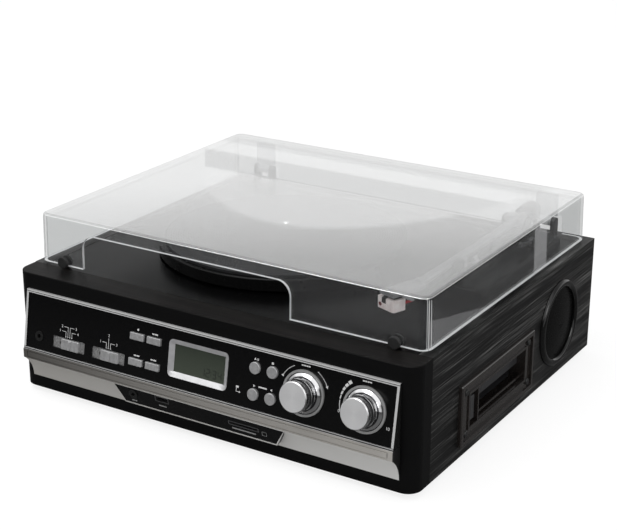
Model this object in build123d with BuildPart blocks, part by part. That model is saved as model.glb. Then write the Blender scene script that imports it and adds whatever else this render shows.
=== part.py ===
from build123d import *
import os
from math import atan2, cos, hypot, radians, sin, sqrt

os.makedirs("parts", exist_ok=True)

# Record player with a radio, a tape slot and card sockets, under a hinged clear cover.
# Millimetres. X runs to the right seen from the front, Y to the back and Z up.
# The origin is the middle of the whole outline, on the table.

# Case
case_width = 377.0
case_depth = 328.4
case_height = 102.0
side_thickness = 12.0
base_thickness = 6.0
back_thickness = 4.0
deck_thickness = 3.0
moulding_depth = 24.0
moulding_wall = 3.0
moulding_corner = 12.0
moulding_edge = 0.8
board_gap = 0.1
deck_gap = 0.5
foot_height = 5.0
foot_radius = 11.0
foot_round = 1.2
foot_inset_x = 38.0
foot_inset_y = 36.0

# Silver frame on the front, with heights above the bottom of the case and reaches ahead of its front
trim_width = 352.0
trim_top = 88.5
trim_bottom = 10.5
trim_reach = 11.5
ledge_top = 38.0
ledge_bottom = 30.5
cove_reach = 3.3
cove_height = 21.2
cove_foot_reach = 0.5
rim_proud = 0.8
rim_width = 2.0
trim_gap = 0.15
trim_flange = 5.0
trim_flange_thickness = 2.5
groove_width = 0.6
groove_depth = 0.5
groove_inset = 4.0

# Tilted control panel
panel_top = 86.0
panel_bottom = 40.0
panel_top_reach = 1.5
panel_bottom_reach = 9.5
panel_thickness = 3.0
panel_gap = 0.15
panel_seat = 3.0
boss_radius = 3.0
board_depth = 12.0
board_thickness = 1.6
board_margin = 4.0

# Dials on the panel
dial_x = (96.8, 149.1)
dial_cap_radius = 12.0
dial_height = 16.0
dial_cap_height = 4.5
dial_neck_radius = 11.4
dial_skirt_radius = 15.5
dial_skirt_height = 7.5
dial_edge = 0.8
dial_lift = 0.8
dial_hollow_radius = 10.5
dial_hollow_height = 3.0
shaft_radius = 3.0
shaft_clearance = 0.04
shaft_depth = 4.0
bushing_radius = 3.7
bushing_proud = 2.2
nut_radius = 5.2
nut_height = 1.5
pot_radius = 8.0
ring_radius = 18.0
ring_width = 1.8
ring_height = 1.2

# Push buttons on the panel
key_width = 13.5
key_height = 5.8
key_x = (-59.5, -42.8)
round_key_radius = 4.75
round_key_x = (52.9, 68.6)
key_rows = (9.6, -11.4)
key_proud = 2.0
key_clearance = 0.2
key_flange = 0.8
key_flange_gap = 0.2
key_travel = 1.2
key_stem = 1.6
key_edge = 0.6

# Slide switches on the panel
slider_x = (-129.5, -88.2)
slider_row = -12.75
slider_window_width = 33.6
slider_window_height = 9.8
slider_cap_width = 18.2
slider_cap_height = 8.8
slider_proud = 1.8
slider_edge = 0.9
slider_pitch = 5.0
slider_steps_left = 2
slider_steps_right = 1
slider_stem_width = 4.0
slider_stem_height = 2.0
slider_bed_depth = 1.0
slider_bed_gap = 0.2
slider_bed_flange = 1.2
slider_bed_flange_thickness = 0.8

# Display
bezel_width = 56.2
bezel_height = 30.5
bezel_corner = 4.0
bezel_proud = 0.6
bezel_lip = 0.8
bezel_depth = 2.0
glass_width = 48.0
glass_height = 22.3
glass_thickness = 1.2
glass_margin = 2.0

# Sockets in the black plate under the ledge
port_top = 28.5
port_top_reach = 9.2
port_bottom = 14.2
port_bottom_reach = 6.0
port_half_top = 81.2
port_half_bottom = 72.4
port_rim = 0.9
port_rim_proud = 0.3
port_thickness = 2.5
port_seat = 2.0
headphone_x = -63.2
headphone_up = 1.8
jack_bore_radius = 1.8
jack_barrel_radius = 3.0
jack_collar_radius = 4.2
jack_collar_proud = 0.8
jack_depth = 11.9
jack_body = 8.0
usb_x = -34.5
usb_up = 4.1
usb_width = 13.1
usb_height = 5.4
usb_wall = 0.4
usb_depth = 14.0
card_x = 43.4
card_up = 1.0
card_width = 28.0
card_height = 3.4
card_wall = 0.5
card_depth = 20.0
aux_x = -160.5
aux_up = -11.8
port_clearance = 0.1

# Platter, belt and motor
spindle_x = -28.0
spindle_setback = 164.5
platter_radius = 109.0
platter_lift = 2.0
platter_height = 10.0
platter_top_thickness = 2.5
platter_skirt = 2.5
drive_ring_radius = 75.0
drive_ring_wall = 2.5
drive_ring_lift = 3.0
hub_radius = 12.0
rib_count = 6
rib_thickness = 2.0
rib_height = 3.5
mat_radius = 104.0
mat_thickness = 2.0
spindle_radius = 3.58
spindle_chamfer = 1.2
spindle_proud = 10.0
spindle_shaft_radius = 4.2
spindle_depth = 20.0
spindle_foot_gap = 1.0
bearing_radius = 8.0
bearing_proud = 2.4
bearing_clearance = 0.04
flange_radius = 7.0
flange_thickness = 1.4
flange_gap = 0.2
fit_clearance = 0.05
motor_offset = 92.0
motor_angle = 150.0
motor_radius = 18.0
motor_height = 26.0
motor_shaft_radius = 1.0
motor_hole_radius = 8.0
pulley_radius = 6.0
pulley_bottom = 3.4
pulley_top = 9.0
belt_width = 4.0
belt_thickness = 0.8
belt_bottom = 4.2
belt_clearance = 0.3

# Tonearm and the raised block that carries it
arm_x = 142.0
arm_setback = 264.0
plateau_left = 112.0
plateau_right = 174.0
plateau_front_setback = 134.0
plateau_back_setback = 292.0
plateau_height = 11.0
plateau_corner = 8.0
plateau_edge = 2.0
plateau_wall = 3.0
arm_length = 200.0
arm_height = 27.0
tube_radius = 3.5
arm_tail = 34.0
arm_base_radius = 17.0
arm_base_height = 3.0
pillar_radius = 9.0
pillar_height = 3.0
pivot_radius = 2.5
yoke_width = 23.0
yoke_cheek = 2.5
yoke_length = 12.0
yoke_floor = 2.7
yoke_rise = 4.0
swing_gap = 0.3
trunnion_width = 16.0
trunnion_height = 9.0
trunnion_pin_radius = 1.5
weight_radius = 8.5
weight_round = 1.0
weight_length = 18.0
weight_start = 14.0
headshell_length = 34.0
headshell_width = 16.0
headshell_thickness = 3.0
headshell_angle = 20.0
stylus_reach = 22.0
collar_length = 7.0
finger_length = 12.0
finger_width = 3.0
finger_thickness = 1.2
cartridge_width = 12.0
cartridge_length = 18.0
cartridge_height = 8.0
stylus_drop = 1.2
stylus_width = 3.0
guard_wall = 1.6
guard_round = 2.0
guard_width = 19.0
guard_length = 13.0
guard_height = 9.0

# Arm rest, clip, cueing lever and speed lever
rest_distance = 122.0
rest_length = 14.0
rest_wall = 4.0
clip_width = 6.0
clip_thickness = 1.6
clip_hook = 3.5
clip_knuckle = 2.0
clip_pin = 1.2
clip_open = 150.0
lift_radius = 30.0
lift_bar = 4.0
lift_thickness = 1.5
lift_gap = 2.5
lift_post_radius = 2.5
lift_post_angle = 22.0
lift_end_angle = 50.0
lift_start_angle = -6.0
cue_x = 163.0
cue_setback = 250.0
cue_height = 4.6
cue_radius = 4.0
cue_width = 3.4
cue_length = 22.0
cue_thickness = 2.0
cue_slope = 8.0
cue_ear = 1.6
cue_pin = 1.5
speed_x = 128.5
speed_setback = 152.0
speed_travel = 12.0
speed_cap_width = 6.0
speed_cap_length = 5.0
speed_cap_height = 4.0
speed_stem = 2.4

# Cover and hinges
cover_inset_x = 5.0
cover_back_inset = 9.2
cover_lift = 2.5
cover_height = 41.5
cover_wall = 2.5
cover_draft = 1.4
cover_corner = 9.0
cover_edge = 3.0
cutout_left = -137.0
cutout_right = 65.5
cutout_height = 30.0
cutout_corner = 12.0
bumper_x = 157.0
bumper_radius = 5.0
bumper_round = 0.8
bumper_flange = 3.0
bumper_neck_gap = 0.1
bumper_lift = 0.3
hinge_x = 148.0
hinge_setback = 16.0
hinge_height = 14.0
hinge_neck = 1.0
hinge_plate_gap = 0.9
hinge_pin_radius = 1.5
hinge_knuckle_radius = 4.0
hinge_knuckle_width = 12.0
hinge_ear = 4.0
hinge_gap = 0.3
hinge_base_thickness = 2.0
hinge_base_length = 14.0
hinge_plate_width = 20.0
hinge_plate_height = 20.0
hinge_plate_thickness = 2.5

# Tape slot and loudspeakers in the sides
tape_setback = 134.0
tape_height = 36.0
tape_frame_length = 132.0
tape_frame_height = 52.0
tape_frame_rim = 4.0
tape_frame_corner = 2.0
tape_frame_round = 1.2
side_proud = 3.5
tape_face_proud = 1.5
tape_lip_proud = 2.5
tape_lip = 2.0
tape_slot_length = 101.0
tape_slot_height = 27.5
tape_plug_length = 126.0
tape_plug_height = 46.0
tape_plug_gap = 0.2
tape_button_bay = 13.6
tape_divider = 1.5
tape_face_thickness = 3.0
tape_wall = 1.5
tape_width = 65.0
tape_length = 100.4
tape_depth = 92.0
tape_flange_length = 130.0
tape_flange_height = 50.0
tape_guide_start = 10.0
tape_door_height = 12.8
tape_door_thickness = 1.5
tape_door_pin = 0.6
tape_door_gap = 0.3
tape_door_recess = 5.0
tape_button_width = 6.5
tape_button_height = 20.0
tape_button_recess = 1.0
tape_rail_height = 2.0
tape_rail_lift = 3.0
reel_spacing = 42.5
reel_radius = 4.4
reel_height = 9.0
reel_pin = 1.5
screw_head_radius = 2.8
screw_head_height = 1.6
screw_shank_radius = 1.5
tape_screw_x = 56.5
tape_screw_y = 17.5
speaker_setback = 255.0
speaker_height = 48.0
speaker_ring_radius = 38.0
speaker_ring_inner = 31.5
speaker_hole_radius = 34.0
speaker_frame_radius = 40.0
speaker_frame_thickness = 2.5
speaker_cone_depth = 18.0
speaker_cone_radius = 32.0
speaker_magnet_radius = 20.0
speaker_neck_radius = 14.0
speaker_magnet_height = 12.0
ring_inner_drop = 1.5
ring_crown_shift = 1.0
grille_thickness = 1.2
grille_rise = 3.0
grille_gap = 0.15

# Back
jack_plate_width = 40.0
jack_plate_height = 20.0
jack_plate_thickness = 1.5
jack_plate_x = -70.0
jack_plate_z = 42.0
line_jack_radius = 4.15
line_jack_length = 8.0
line_jack_bore = 1.7
line_jack_spacing = 16.0
inlet_x = 90.0
inlet_z = 34.0
inlet_radius = 5.5
inlet_bore = 2.75
inlet_pin = 1.05
inlet_depth = 12.0
inlet_collar = 2.0
vent_count = 9
vent_width = 3.0
vent_height = 26.0
vent_pitch = 8.0
back_screw_pitch = 150.0
back_screw_inset = 8.0
back_screw_length = 11.0
cleat_depth = 10.0
cleat_height = 14.0
jack_inside = 6.0

# Places worked out from the sizes above
case_bottom = foot_height
case_top = case_bottom + case_height
half_width = case_width / 2
panel_tilt = atan2(panel_bottom_reach - panel_top_reach, panel_top - panel_bottom)
panel_slope = hypot(panel_bottom_reach - panel_top_reach, panel_top - panel_bottom)
panel_mid_reach = (panel_top_reach + panel_bottom_reach) / 2
front_reach = (
    panel_mid_reach
    + (dial_height - dial_edge) * cos(panel_tilt)
    + (dial_cap_radius - dial_edge) * sin(panel_tilt)
    + dial_edge
)
rear_reach = jack_plate_thickness + line_jack_length
overall_depth = front_reach + case_depth + rear_reach
case_front_y = -overall_depth / 2 + front_reach
case_back_y = case_front_y + case_depth
moulding_back_y = case_front_y + moulding_depth
inner_half = half_width - side_thickness
panel_half = trim_width / 2 - rim_width
deck_under = case_top - deck_thickness
spindle_y = case_front_y + spindle_setback
arm_y = case_front_y + arm_setback
arm_z = case_top + arm_height
plateau_top = case_top + plateau_height
lift_post_x = arm_x - lift_radius * sin(radians(lift_post_angle))
lift_post_y = arm_y - lift_radius * cos(radians(lift_post_angle))
cover_front_y = moulding_back_y
cover_back_y = case_back_y - cover_back_inset
cover_bottom = case_top + cover_lift
tape_y = case_front_y + tape_setback
tape_z = case_bottom + tape_height
speaker_y = case_front_y + speaker_setback
speaker_z = case_bottom + speaker_height
hinge_y = case_back_y - hinge_setback
hinge_z = case_top + hinge_height
back_bottom = case_bottom + base_thickness
back_screw_rows = (back_bottom + back_screw_inset, deck_under - back_screw_inset)
cleat_y = case_back_y - back_thickness - cleat_depth / 2


def front_plane(y):
    """A plane facing the front, with its own X along X and its own Y upwards."""
    return Plane(origin=(0, y, 0), x_dir=(1, 0, 0), z_dir=(0, -1, 0))


def side_plane(x, side=1):
    """A plane facing the right (side 1) or the left (side -1), with its own Y upwards."""
    return Plane(origin=(x, 0, 0), x_dir=(0, side, 0), z_dir=(side, 0, 0))


def spot(face, x, up, proud=0.0):
    """A plane like the face, moved along it and out of it."""
    origin = face.from_local_coords(Vector(x, up, proud))
    return Plane(origin=origin, x_dir=face.x_dir, z_dir=face.z_dir)


def lathe(place):
    """The plane in which a round piece is drawn: X is its radius, Y its height above the place."""
    return Plane(origin=place.origin, x_dir=place.x_dir, z_dir=-place.y_dir)


def spin_axis(place):
    """The axis of a round piece that stands on the place."""
    return Axis(place.origin, place.z_dir)


def finish(piece, name):
    """Name a finished piece and write it to its own file."""
    piece.part.label = name
    export_step(piece.part, f"parts/{name}.step")


panel_face = Plane(
    origin=(0, case_front_y - panel_mid_reach, case_bottom + (panel_top + panel_bottom) / 2),
    x_dir=(1, 0, 0),
    z_dir=(0, -cos(panel_tilt), sin(panel_tilt)),
)
panel_out = Axis(panel_face.origin, panel_face.z_dir)
port_tilt = atan2(port_top_reach - port_bottom_reach, port_top - port_bottom)
port_slope = hypot(port_top_reach - port_bottom_reach, port_top - port_bottom)
port_mid_reach = (port_top_reach + port_bottom_reach) / 2
port_face = Plane(
    origin=(0, case_front_y - port_mid_reach, case_bottom + (port_top + port_bottom) / 2),
    x_dir=(1, 0, 0),
    z_dir=(0, -cos(port_tilt), -sin(port_tilt)),
)


# Base board, with its four rubber feet under it
with BuildPart() as base_board:
    with BuildSketch(Plane.XY.offset(case_bottom)):
        with Locations((0, (moulding_back_y + case_back_y) / 2)):
            Rectangle(2 * (inner_half - board_gap), case_back_y - moulding_back_y)
    extrude(amount=base_thickness)
    with BuildSketch(Plane.XY.offset(back_bottom)):
        with Locations((0, cleat_y)):
            Rectangle(2 * (inner_half - deck_gap), cleat_depth)
    extrude(amount=cleat_height)
    with BuildSketch(front_plane(case_back_y)):
        with Locations((0, back_screw_rows[0])):
            with GridLocations(back_screw_pitch, 1, 3, 1):
                Circle(screw_shank_radius + fit_clearance)
    extrude(amount=back_thickness + cleat_depth, mode=Mode.SUBTRACT)
finish(base_board, "base_board")

foot_half_y = case_depth / 2 - foot_inset_y
case_mid_y = (case_front_y + case_back_y) / 2
with BuildPart() as rubber_feet:
    with BuildSketch():
        with Locations((0, case_mid_y)):
            with GridLocations(case_width - 2 * foot_inset_x, 2 * foot_half_y, 2, 2):
                Circle(foot_radius)
    extrude(amount=foot_height)
    foot_rims = rubber_feet.edges().filter_by(GeomType.CIRCLE).group_by(Axis.Z)[0]
    fillet(foot_rims, foot_round)
finish(rubber_feet, "rubber_feet")


# Wood sides, with the loudspeaker holes and, on the right, the hole for the tape slot
def side_panel(side):
    inner_face = side_plane(side * inner_half, side)
    with BuildPart() as panel:
        with BuildSketch(inner_face):
            with Locations((side * (moulding_back_y + case_back_y) / 2, (case_bottom + case_top) / 2)):
                Rectangle(case_back_y - moulding_back_y, case_height)
        extrude(amount=side_thickness)
        with BuildSketch(inner_face):
            with Locations((side * speaker_y, speaker_z)):
                Circle(speaker_hole_radius)
            if side > 0:
                with Locations((tape_y, tape_z)):
                    Rectangle(tape_plug_length + 2 * tape_plug_gap, tape_plug_height + 2 * tape_plug_gap)
        extrude(amount=side_thickness, mode=Mode.SUBTRACT)
        if side > 0:
            with BuildSketch(inner_face):
                with Locations((tape_y, tape_z)):
                    with GridLocations(2 * tape_screw_x, 2 * tape_screw_y, 2, 2):
                        Circle(screw_shank_radius + fit_clearance)
            extrude(amount=side_thickness, mode=Mode.SUBTRACT)
    return panel


side_panel_left = side_panel(-1)
finish(side_panel_left, "side_panel_left")
side_panel_right = side_panel(1)
finish(side_panel_right, "side_panel_right")


# Back board, with vent slots and the holes for the rear sockets
jack_z = case_bottom + jack_plate_z
inlet_height = case_bottom + inlet_z
with BuildPart() as back_panel:
    with BuildSketch(front_plane(case_back_y)):
        with Locations((0, (back_bottom + deck_under) / 2)):
            Rectangle(2 * (inner_half - board_gap), deck_under - back_bottom)
    extrude(amount=back_thickness)
    with BuildSketch(front_plane(case_back_y)):
        with Locations((0, (back_bottom + deck_under) / 2)):
            with GridLocations(vent_pitch, 1, vent_count, 1):
                SlotOverall(vent_height, vent_width, rotation=90)
        with Locations((jack_plate_x, jack_z)):
            with GridLocations(line_jack_spacing, 1, 2, 1):
                Circle(line_jack_radius + fit_clearance)
        with Locations((inlet_x, inlet_height)):
            Circle(inlet_radius + fit_clearance)
        for screw_z in back_screw_rows:
            with Locations((0, screw_z)):
                with GridLocations(back_screw_pitch, 1, 3, 1):
                    Circle(screw_shank_radius + fit_clearance)
    extrude(amount=back_thickness, mode=Mode.SUBTRACT)
finish(back_panel, "back_panel")


# Front moulding: a black shell with rounded corners, open at the back and behind the silver frame
moulding_mid_y = case_front_y + moulding_depth / 2
with BuildPart() as front_moulding:
    with BuildSketch(Plane.XY.offset(case_bottom)):
        with Locations((0, moulding_mid_y)):
            Rectangle(case_width, moulding_depth)
    extrude(amount=case_height)
    fillet(front_moulding.edges().filter_by(Axis.Z).group_by(Axis.Y)[0], moulding_corner)
    front_top_edges = front_moulding.faces().sort_by(Axis.Z)[-1].edges()
    fillet(front_top_edges.sort_by(Axis.Y)[:-1], moulding_edge)
    with BuildSketch(Plane.XY.offset(case_bottom + moulding_wall)):
        with Locations((0, moulding_mid_y + moulding_wall)):
            RectangleRounded(
                case_width - 2 * moulding_wall,
                moulding_depth,
                moulding_corner - moulding_wall,
            )
    extrude(amount=case_height - 2 * moulding_wall, mode=Mode.SUBTRACT)
    with BuildSketch(front_plane(case_front_y)):
        with Locations((0, case_bottom + (trim_top + trim_bottom) / 2)):
            Rectangle(trim_width + 2 * trim_gap, trim_top - trim_bottom + 2 * trim_gap)
    extrude(amount=-2 * moulding_wall, mode=Mode.SUBTRACT)
finish(front_moulding, "front_moulding")


# Silver frame: rim round the panel, stepped ledge and the cove under it, set in from behind
def trapezoid(half_top, half_bottom, top, bottom):
    """The outline of the socket plate, which is wider at the top."""
    corners = ((-half_bottom, bottom), (half_bottom, bottom), (half_top, top), (-half_top, top))
    Polygon(*corners, align=None)


trim_back = moulding_wall + trim_flange_thickness
rim_slope = (panel_bottom_reach - panel_top_reach) / (panel_top - panel_bottom)
rim_top_reach = panel_top_reach + rim_proud - (trim_top - panel_top) * rim_slope
step_rise = 1.0
rim_foot_rise = 0.9
step_height = ledge_top + step_rise
rim_foot_height = step_height + rim_foot_rise
rim_foot_reach = panel_top_reach + rim_proud + (panel_top - rim_foot_height) * rim_slope
step_reach = (rim_foot_reach + trim_reach) / 2
with BuildPart() as trim_frame:
    with BuildSketch(Plane(origin=(0, case_front_y, case_bottom), x_dir=(0, -1, 0), z_dir=(-1, 0, 0))):
        with BuildLine():
            Polyline(
                (cove_foot_reach, trim_bottom),
                (-trim_back, trim_bottom),
                (-trim_back, trim_top),
                (rim_top_reach, trim_top),
                (rim_foot_reach, rim_foot_height),
                (rim_foot_reach, step_height),
                (step_reach, step_height),
                (step_reach, ledge_top),
                (trim_reach, ledge_top),
                (trim_reach, ledge_bottom),
            )
            ThreePointArc(
                (trim_reach, ledge_bottom),
                (cove_reach, cove_height),
                (cove_foot_reach, trim_bottom),
            )
        make_face()
    extrude(amount=trim_width / 2, both=True)
    with BuildSketch(front_plane(case_front_y + trim_back)):
        with Locations((0, case_bottom + (trim_top + trim_bottom) / 2)):
            Rectangle(trim_width, trim_top - trim_bottom + 2 * trim_flange)
    extrude(amount=trim_flange_thickness)
    with BuildSketch(port_face.offset(port_rim_proud)):
        trapezoid(
            port_half_top + port_rim,
            port_half_bottom + port_rim,
            port_slope / 2 + port_rim,
            -port_slope / 2 - port_rim,
        )
    extrude(amount=-(port_mid_reach + port_rim_proud + moulding_wall))
    with BuildSketch(panel_face.offset(rim_proud * 2)):
        Rectangle(2 * panel_half, panel_slope)
    extrude(amount=-(rim_proud * 2 + panel_thickness), mode=Mode.SUBTRACT)
    with BuildSketch(panel_face):
        Rectangle(2 * (panel_half - panel_seat), panel_slope - 1.4 * panel_seat)
    extrude(amount=-4 * trim_reach, mode=Mode.SUBTRACT)
    with BuildSketch(port_face.offset(port_rim_proud * 2)):
        trapezoid(port_half_top, port_half_bottom, port_slope / 2, -port_slope / 2)
    extrude(amount=-(port_rim_proud * 2 + port_thickness), mode=Mode.SUBTRACT)
    with BuildSketch(port_face):
        trapezoid(
            port_half_top - port_seat,
            port_half_bottom - port_seat,
            port_slope / 2,
            -port_slope / 2 + port_seat,
        )
    extrude(amount=-4 * trim_reach, mode=Mode.SUBTRACT)
    with BuildSketch(front_plane(case_front_y - trim_reach)):
        with Locations((0, case_bottom + (ledge_top + ledge_bottom) / 2)):
            Rectangle(trim_width - 2 * groove_inset, ledge_top - ledge_bottom - groove_inset / 2)
            offset(amount=-groove_width, mode=Mode.SUBTRACT)
    extrude(amount=-groove_depth, mode=Mode.SUBTRACT)
finish(trim_frame, "trim_frame")


# Control panel: a black plate with all its openings, and four bosses for the board behind it
panel_under = -panel_thickness
boss_spots = ((-160.0, 13.0), (-104.0, 14.0), (123.0, 15.0), (123.0, -15.0))
bezel_hole_width = bezel_width - 2 * bezel_lip
bezel_hole_height = bezel_height - 2 * bezel_lip
bezel_hole_corner = bezel_corner - bezel_lip
with BuildPart() as control_panel:
    with BuildSketch(panel_face):
        Rectangle(2 * (panel_half - panel_gap), panel_slope - 2 * panel_gap)
    extrude(amount=-panel_thickness)
    with BuildSketch(panel_face.offset(panel_under)):
        for boss_x, boss_up in boss_spots:
            with Locations((boss_x, boss_up)):
                Circle(boss_radius)
    extrude(amount=-(board_depth - panel_thickness))
    with BuildSketch(panel_face):
        for row in key_rows:
            for x in key_x:
                with Locations((x, row)):
                    RectangleRounded(key_width + 2 * key_clearance, key_height + 2 * key_clearance, key_edge)
            for x in round_key_x:
                with Locations((x, row)):
                    Circle(round_key_radius + key_clearance)
        for x in slider_x:
            with Locations((x, slider_row)):
                RectangleRounded(slider_window_width, slider_window_height, slider_edge)
        for x in dial_x:
            with Locations((x, 0)):
                Circle(bushing_radius + fit_clearance)
        RectangleRounded(bezel_hole_width, bezel_hole_height, bezel_hole_corner)
        with Locations((aux_x, aux_up)):
            Circle(jack_barrel_radius + fit_clearance)
    extrude(amount=-panel_thickness, mode=Mode.SUBTRACT)
finish(control_panel, "control_panel")


# Satin rings round the dials, and the beds that the slide switches run over
slider_throw = slider_pitch * (slider_steps_left + slider_steps_right)
slider_slot = slider_throw + slider_stem_width + 2 * slider_bed_gap
slider_slot_shift = slider_pitch * (slider_steps_right - slider_steps_left) / 2
slider_rest = slider_pitch * (slider_steps_left - slider_steps_right) / 2
with BuildPart() as panel_trims:
    with BuildSketch(panel_face):
        for x in dial_x:
            with Locations((x, 0)):
                Circle(ring_radius)
                Circle(ring_radius - ring_width, mode=Mode.SUBTRACT)
    extrude(amount=ring_height)
    for x in slider_x:
        with BuildSketch(panel_face.offset(-slider_bed_depth)):
            with Locations((x, slider_row)):
                RectangleRounded(
                    slider_window_width - 2 * port_clearance,
                    slider_window_height - 2 * port_clearance,
                    slider_edge,
                )
                Rectangle(slider_slot, slider_stem_height + 2 * slider_bed_gap, mode=Mode.SUBTRACT)
        extrude(amount=-(panel_thickness - slider_bed_depth))
        with BuildSketch(panel_face.offset(panel_under)):
            with Locations((x, slider_row)):
                Rectangle(
                    slider_window_width + 2 * slider_bed_flange,
                    slider_window_height + 2 * slider_bed_flange,
                )
                Rectangle(slider_slot, slider_stem_height + 2 * slider_bed_gap, mode=Mode.SUBTRACT)
        extrude(amount=-slider_bed_flange_thickness)
finish(panel_trims, "panel_trims")


# Function slider and band slider, each resting one step from its right end
switch_body_height = 4.6
switch_body_top = board_depth - switch_body_height
for x, slider_name in zip(slider_x, ("function_slider", "band_slider")):
    with BuildPart() as slider:
        with BuildSketch(panel_face.offset(slider_bed_gap - slider_bed_depth)):
            with Locations((x + slider_rest, slider_row)):
                RectangleRounded(slider_cap_width, slider_cap_height, slider_edge)
        extrude(amount=slider_proud + slider_bed_depth - slider_bed_gap)
        fillet(slider.faces().sort_by(panel_out)[-1].edges(), slider_edge / 2)
        with BuildSketch(panel_face.offset(slider_bed_gap - slider_bed_depth)):
            with Locations((x + slider_rest, slider_row)):
                Rectangle(slider_stem_width, slider_stem_height)
        extrude(amount=-(switch_body_top - slider_bed_depth))
    finish(slider, slider_name)


# Eight push buttons: four flat keys left of the display and four round ones right of it
key_names = ("key_record", "key_mode", "key_delete", "key_repeat")
round_names = ("button_play", "button_stop", "button_folder_down", "button_folder_up")
key_flange_top = panel_thickness + key_flange_gap
key_stem_end = switch_body_top - key_travel - key_flange_gap
key_spots = [(x, row) for row in key_rows for x in key_x]
round_spots = [(x, row) for row in key_rows for x in round_key_x]


def key_body(place, outline, flange_outline):
    """A button: its cap in the panel, the flange that keeps it in, and its stem."""
    with BuildPart() as key:
        with BuildSketch(place.offset(-key_flange_top)):
            add(outline)
        extrude(amount=key_flange_top + key_proud)
        fillet(key.faces().sort_by(panel_out)[-1].edges(), key_edge)
        with BuildSketch(place.offset(-key_flange_top)):
            add(flange_outline)
        extrude(amount=-key_flange)
        with BuildSketch(place.offset(-key_flange_top)):
            Circle(key_stem)
        extrude(amount=-(key_stem_end - key_flange_top))
    return key


for (x, row), key_name in zip(key_spots, key_names):
    key_outline = RectangleRounded(key_width, key_height, key_edge)
    key_flange_outline = Rectangle(key_width + 2 * key_flange, key_height + 2 * key_flange)
    finish(key_body(spot(panel_face, x, row), key_outline, key_flange_outline), key_name)
for (x, row), key_name in zip(round_spots, round_names):
    key_outline = Circle(round_key_radius)
    key_flange_outline = Circle(round_key_radius + key_flange)
    finish(key_body(spot(panel_face, x, row), key_outline, key_flange_outline), key_name)


# Volume and tuning dials: spun cap, narrow neck, flared skirt, and the shaft that turns in its bushing
dial_names = ("tuning_dial", "volume_dial")
for x, dial_name in zip(dial_x, dial_names):
    place = spot(panel_face, x, 0)
    with BuildPart() as dial:
        with BuildSketch(lathe(place)):
            with BuildLine():
                Polyline(
                    (dial_skirt_radius, dial_lift),
                    (dial_hollow_radius, dial_lift),
                    (dial_hollow_radius, dial_hollow_height),
                    (shaft_radius, dial_hollow_height),
                    (shaft_radius, -shaft_depth),
                    (0, -shaft_depth),
                    (0, dial_height),
                    (dial_cap_radius - dial_edge, dial_height),
                    (dial_cap_radius, dial_height - dial_edge),
                    (dial_cap_radius, dial_height - dial_cap_height),
                    (dial_neck_radius, dial_height - dial_cap_height),
                    (dial_neck_radius, dial_skirt_height),
                )
                ThreePointArc(
                    (dial_neck_radius, dial_skirt_height),
                    (dial_neck_radius + (dial_skirt_radius - dial_neck_radius) / 4, dial_skirt_height / 2),
                    (dial_skirt_radius, dial_lift),
                )
            make_face()
        revolve(axis=spin_axis(place))
    finish(dial, dial_name)

# The two controls that the dials turn: a round body on the board, its threaded bushing and nut
with BuildPart() as potentiometers:
    for x in dial_x:
        with BuildSketch(spot(panel_face, x, 0, -board_depth)):
            Circle(pot_radius)
            Circle(shaft_radius + shaft_clearance, mode=Mode.SUBTRACT)
        extrude(amount=board_depth - panel_thickness)
        with BuildSketch(spot(panel_face, x, 0, -panel_thickness)):
            Circle(bushing_radius)
            Circle(shaft_radius + shaft_clearance, mode=Mode.SUBTRACT)
        extrude(amount=panel_thickness + bushing_proud)
        with BuildSketch(spot(panel_face, x, 0)):
            RegularPolygon(nut_radius, 6)
            Circle(bushing_radius, mode=Mode.SUBTRACT)
        extrude(amount=nut_height)
finish(potentiometers, "potentiometers")


# Display: a silver bezel that slopes down to the glass, and the glass behind it
bezel_plug_width = bezel_hole_width - 2 * port_clearance
bezel_plug_height = bezel_hole_height - 2 * port_clearance
with BuildPart() as display_bezel:
    with BuildSketch(panel_face):
        RectangleRounded(bezel_width, bezel_height, bezel_corner)
    extrude(amount=bezel_proud)
    with BuildSketch(panel_face):
        RectangleRounded(bezel_plug_width, bezel_plug_height, bezel_hole_corner)
    extrude(amount=-bezel_depth)
    with BuildSketch(panel_face.offset(-bezel_depth)):
        Rectangle(glass_width, glass_height)
    with BuildSketch(panel_face.offset(bezel_proud)):
        RectangleRounded(
            bezel_width - bezel_lip / 2,
            bezel_height - bezel_lip / 2,
            bezel_corner - bezel_lip / 4,
        )
    loft(mode=Mode.SUBTRACT)
finish(display_bezel, "display_bezel")

with BuildPart() as display_glass:
    with BuildSketch(panel_face.offset(-bezel_depth)):
        Rectangle(glass_width + 2 * glass_margin, glass_height + 2 * glass_margin)
    extrude(amount=-glass_thickness)
finish(display_glass, "display_glass")


# Board behind the panel, carrying the display's body, the slide switches and the button switches
board_half = panel_half - panel_seat - board_margin
display_under = bezel_depth + glass_thickness
key_switch_size = 6.0
key_switch_top = switch_body_top
with BuildPart() as control_board:
    with BuildSketch(panel_face.offset(-board_depth)):
        Rectangle(2 * board_half, panel_slope - 2 * panel_seat - board_margin)
        for x in dial_x:
            with Locations((x, 0)):
                Circle(shaft_radius, mode=Mode.SUBTRACT)
    extrude(amount=-board_thickness)
    with BuildSketch(panel_face.offset(-board_depth)):
        Rectangle(glass_width + 2 * glass_margin, glass_height + 2 * glass_margin)
    extrude(amount=board_depth - display_under)
    with BuildSketch(panel_face.offset(-board_depth)):
        for x, row in key_spots + round_spots:
            with Locations((x, row)):
                Rectangle(key_switch_size, key_switch_size)
        for x in slider_x:
            with Locations((x + slider_slot_shift + slider_rest, slider_row)):
                Rectangle(slider_slot + slider_stem_width, slider_cap_height)
    extrude(amount=board_depth - key_switch_top - slider_bed_gap)
finish(control_board, "control_board")


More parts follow.
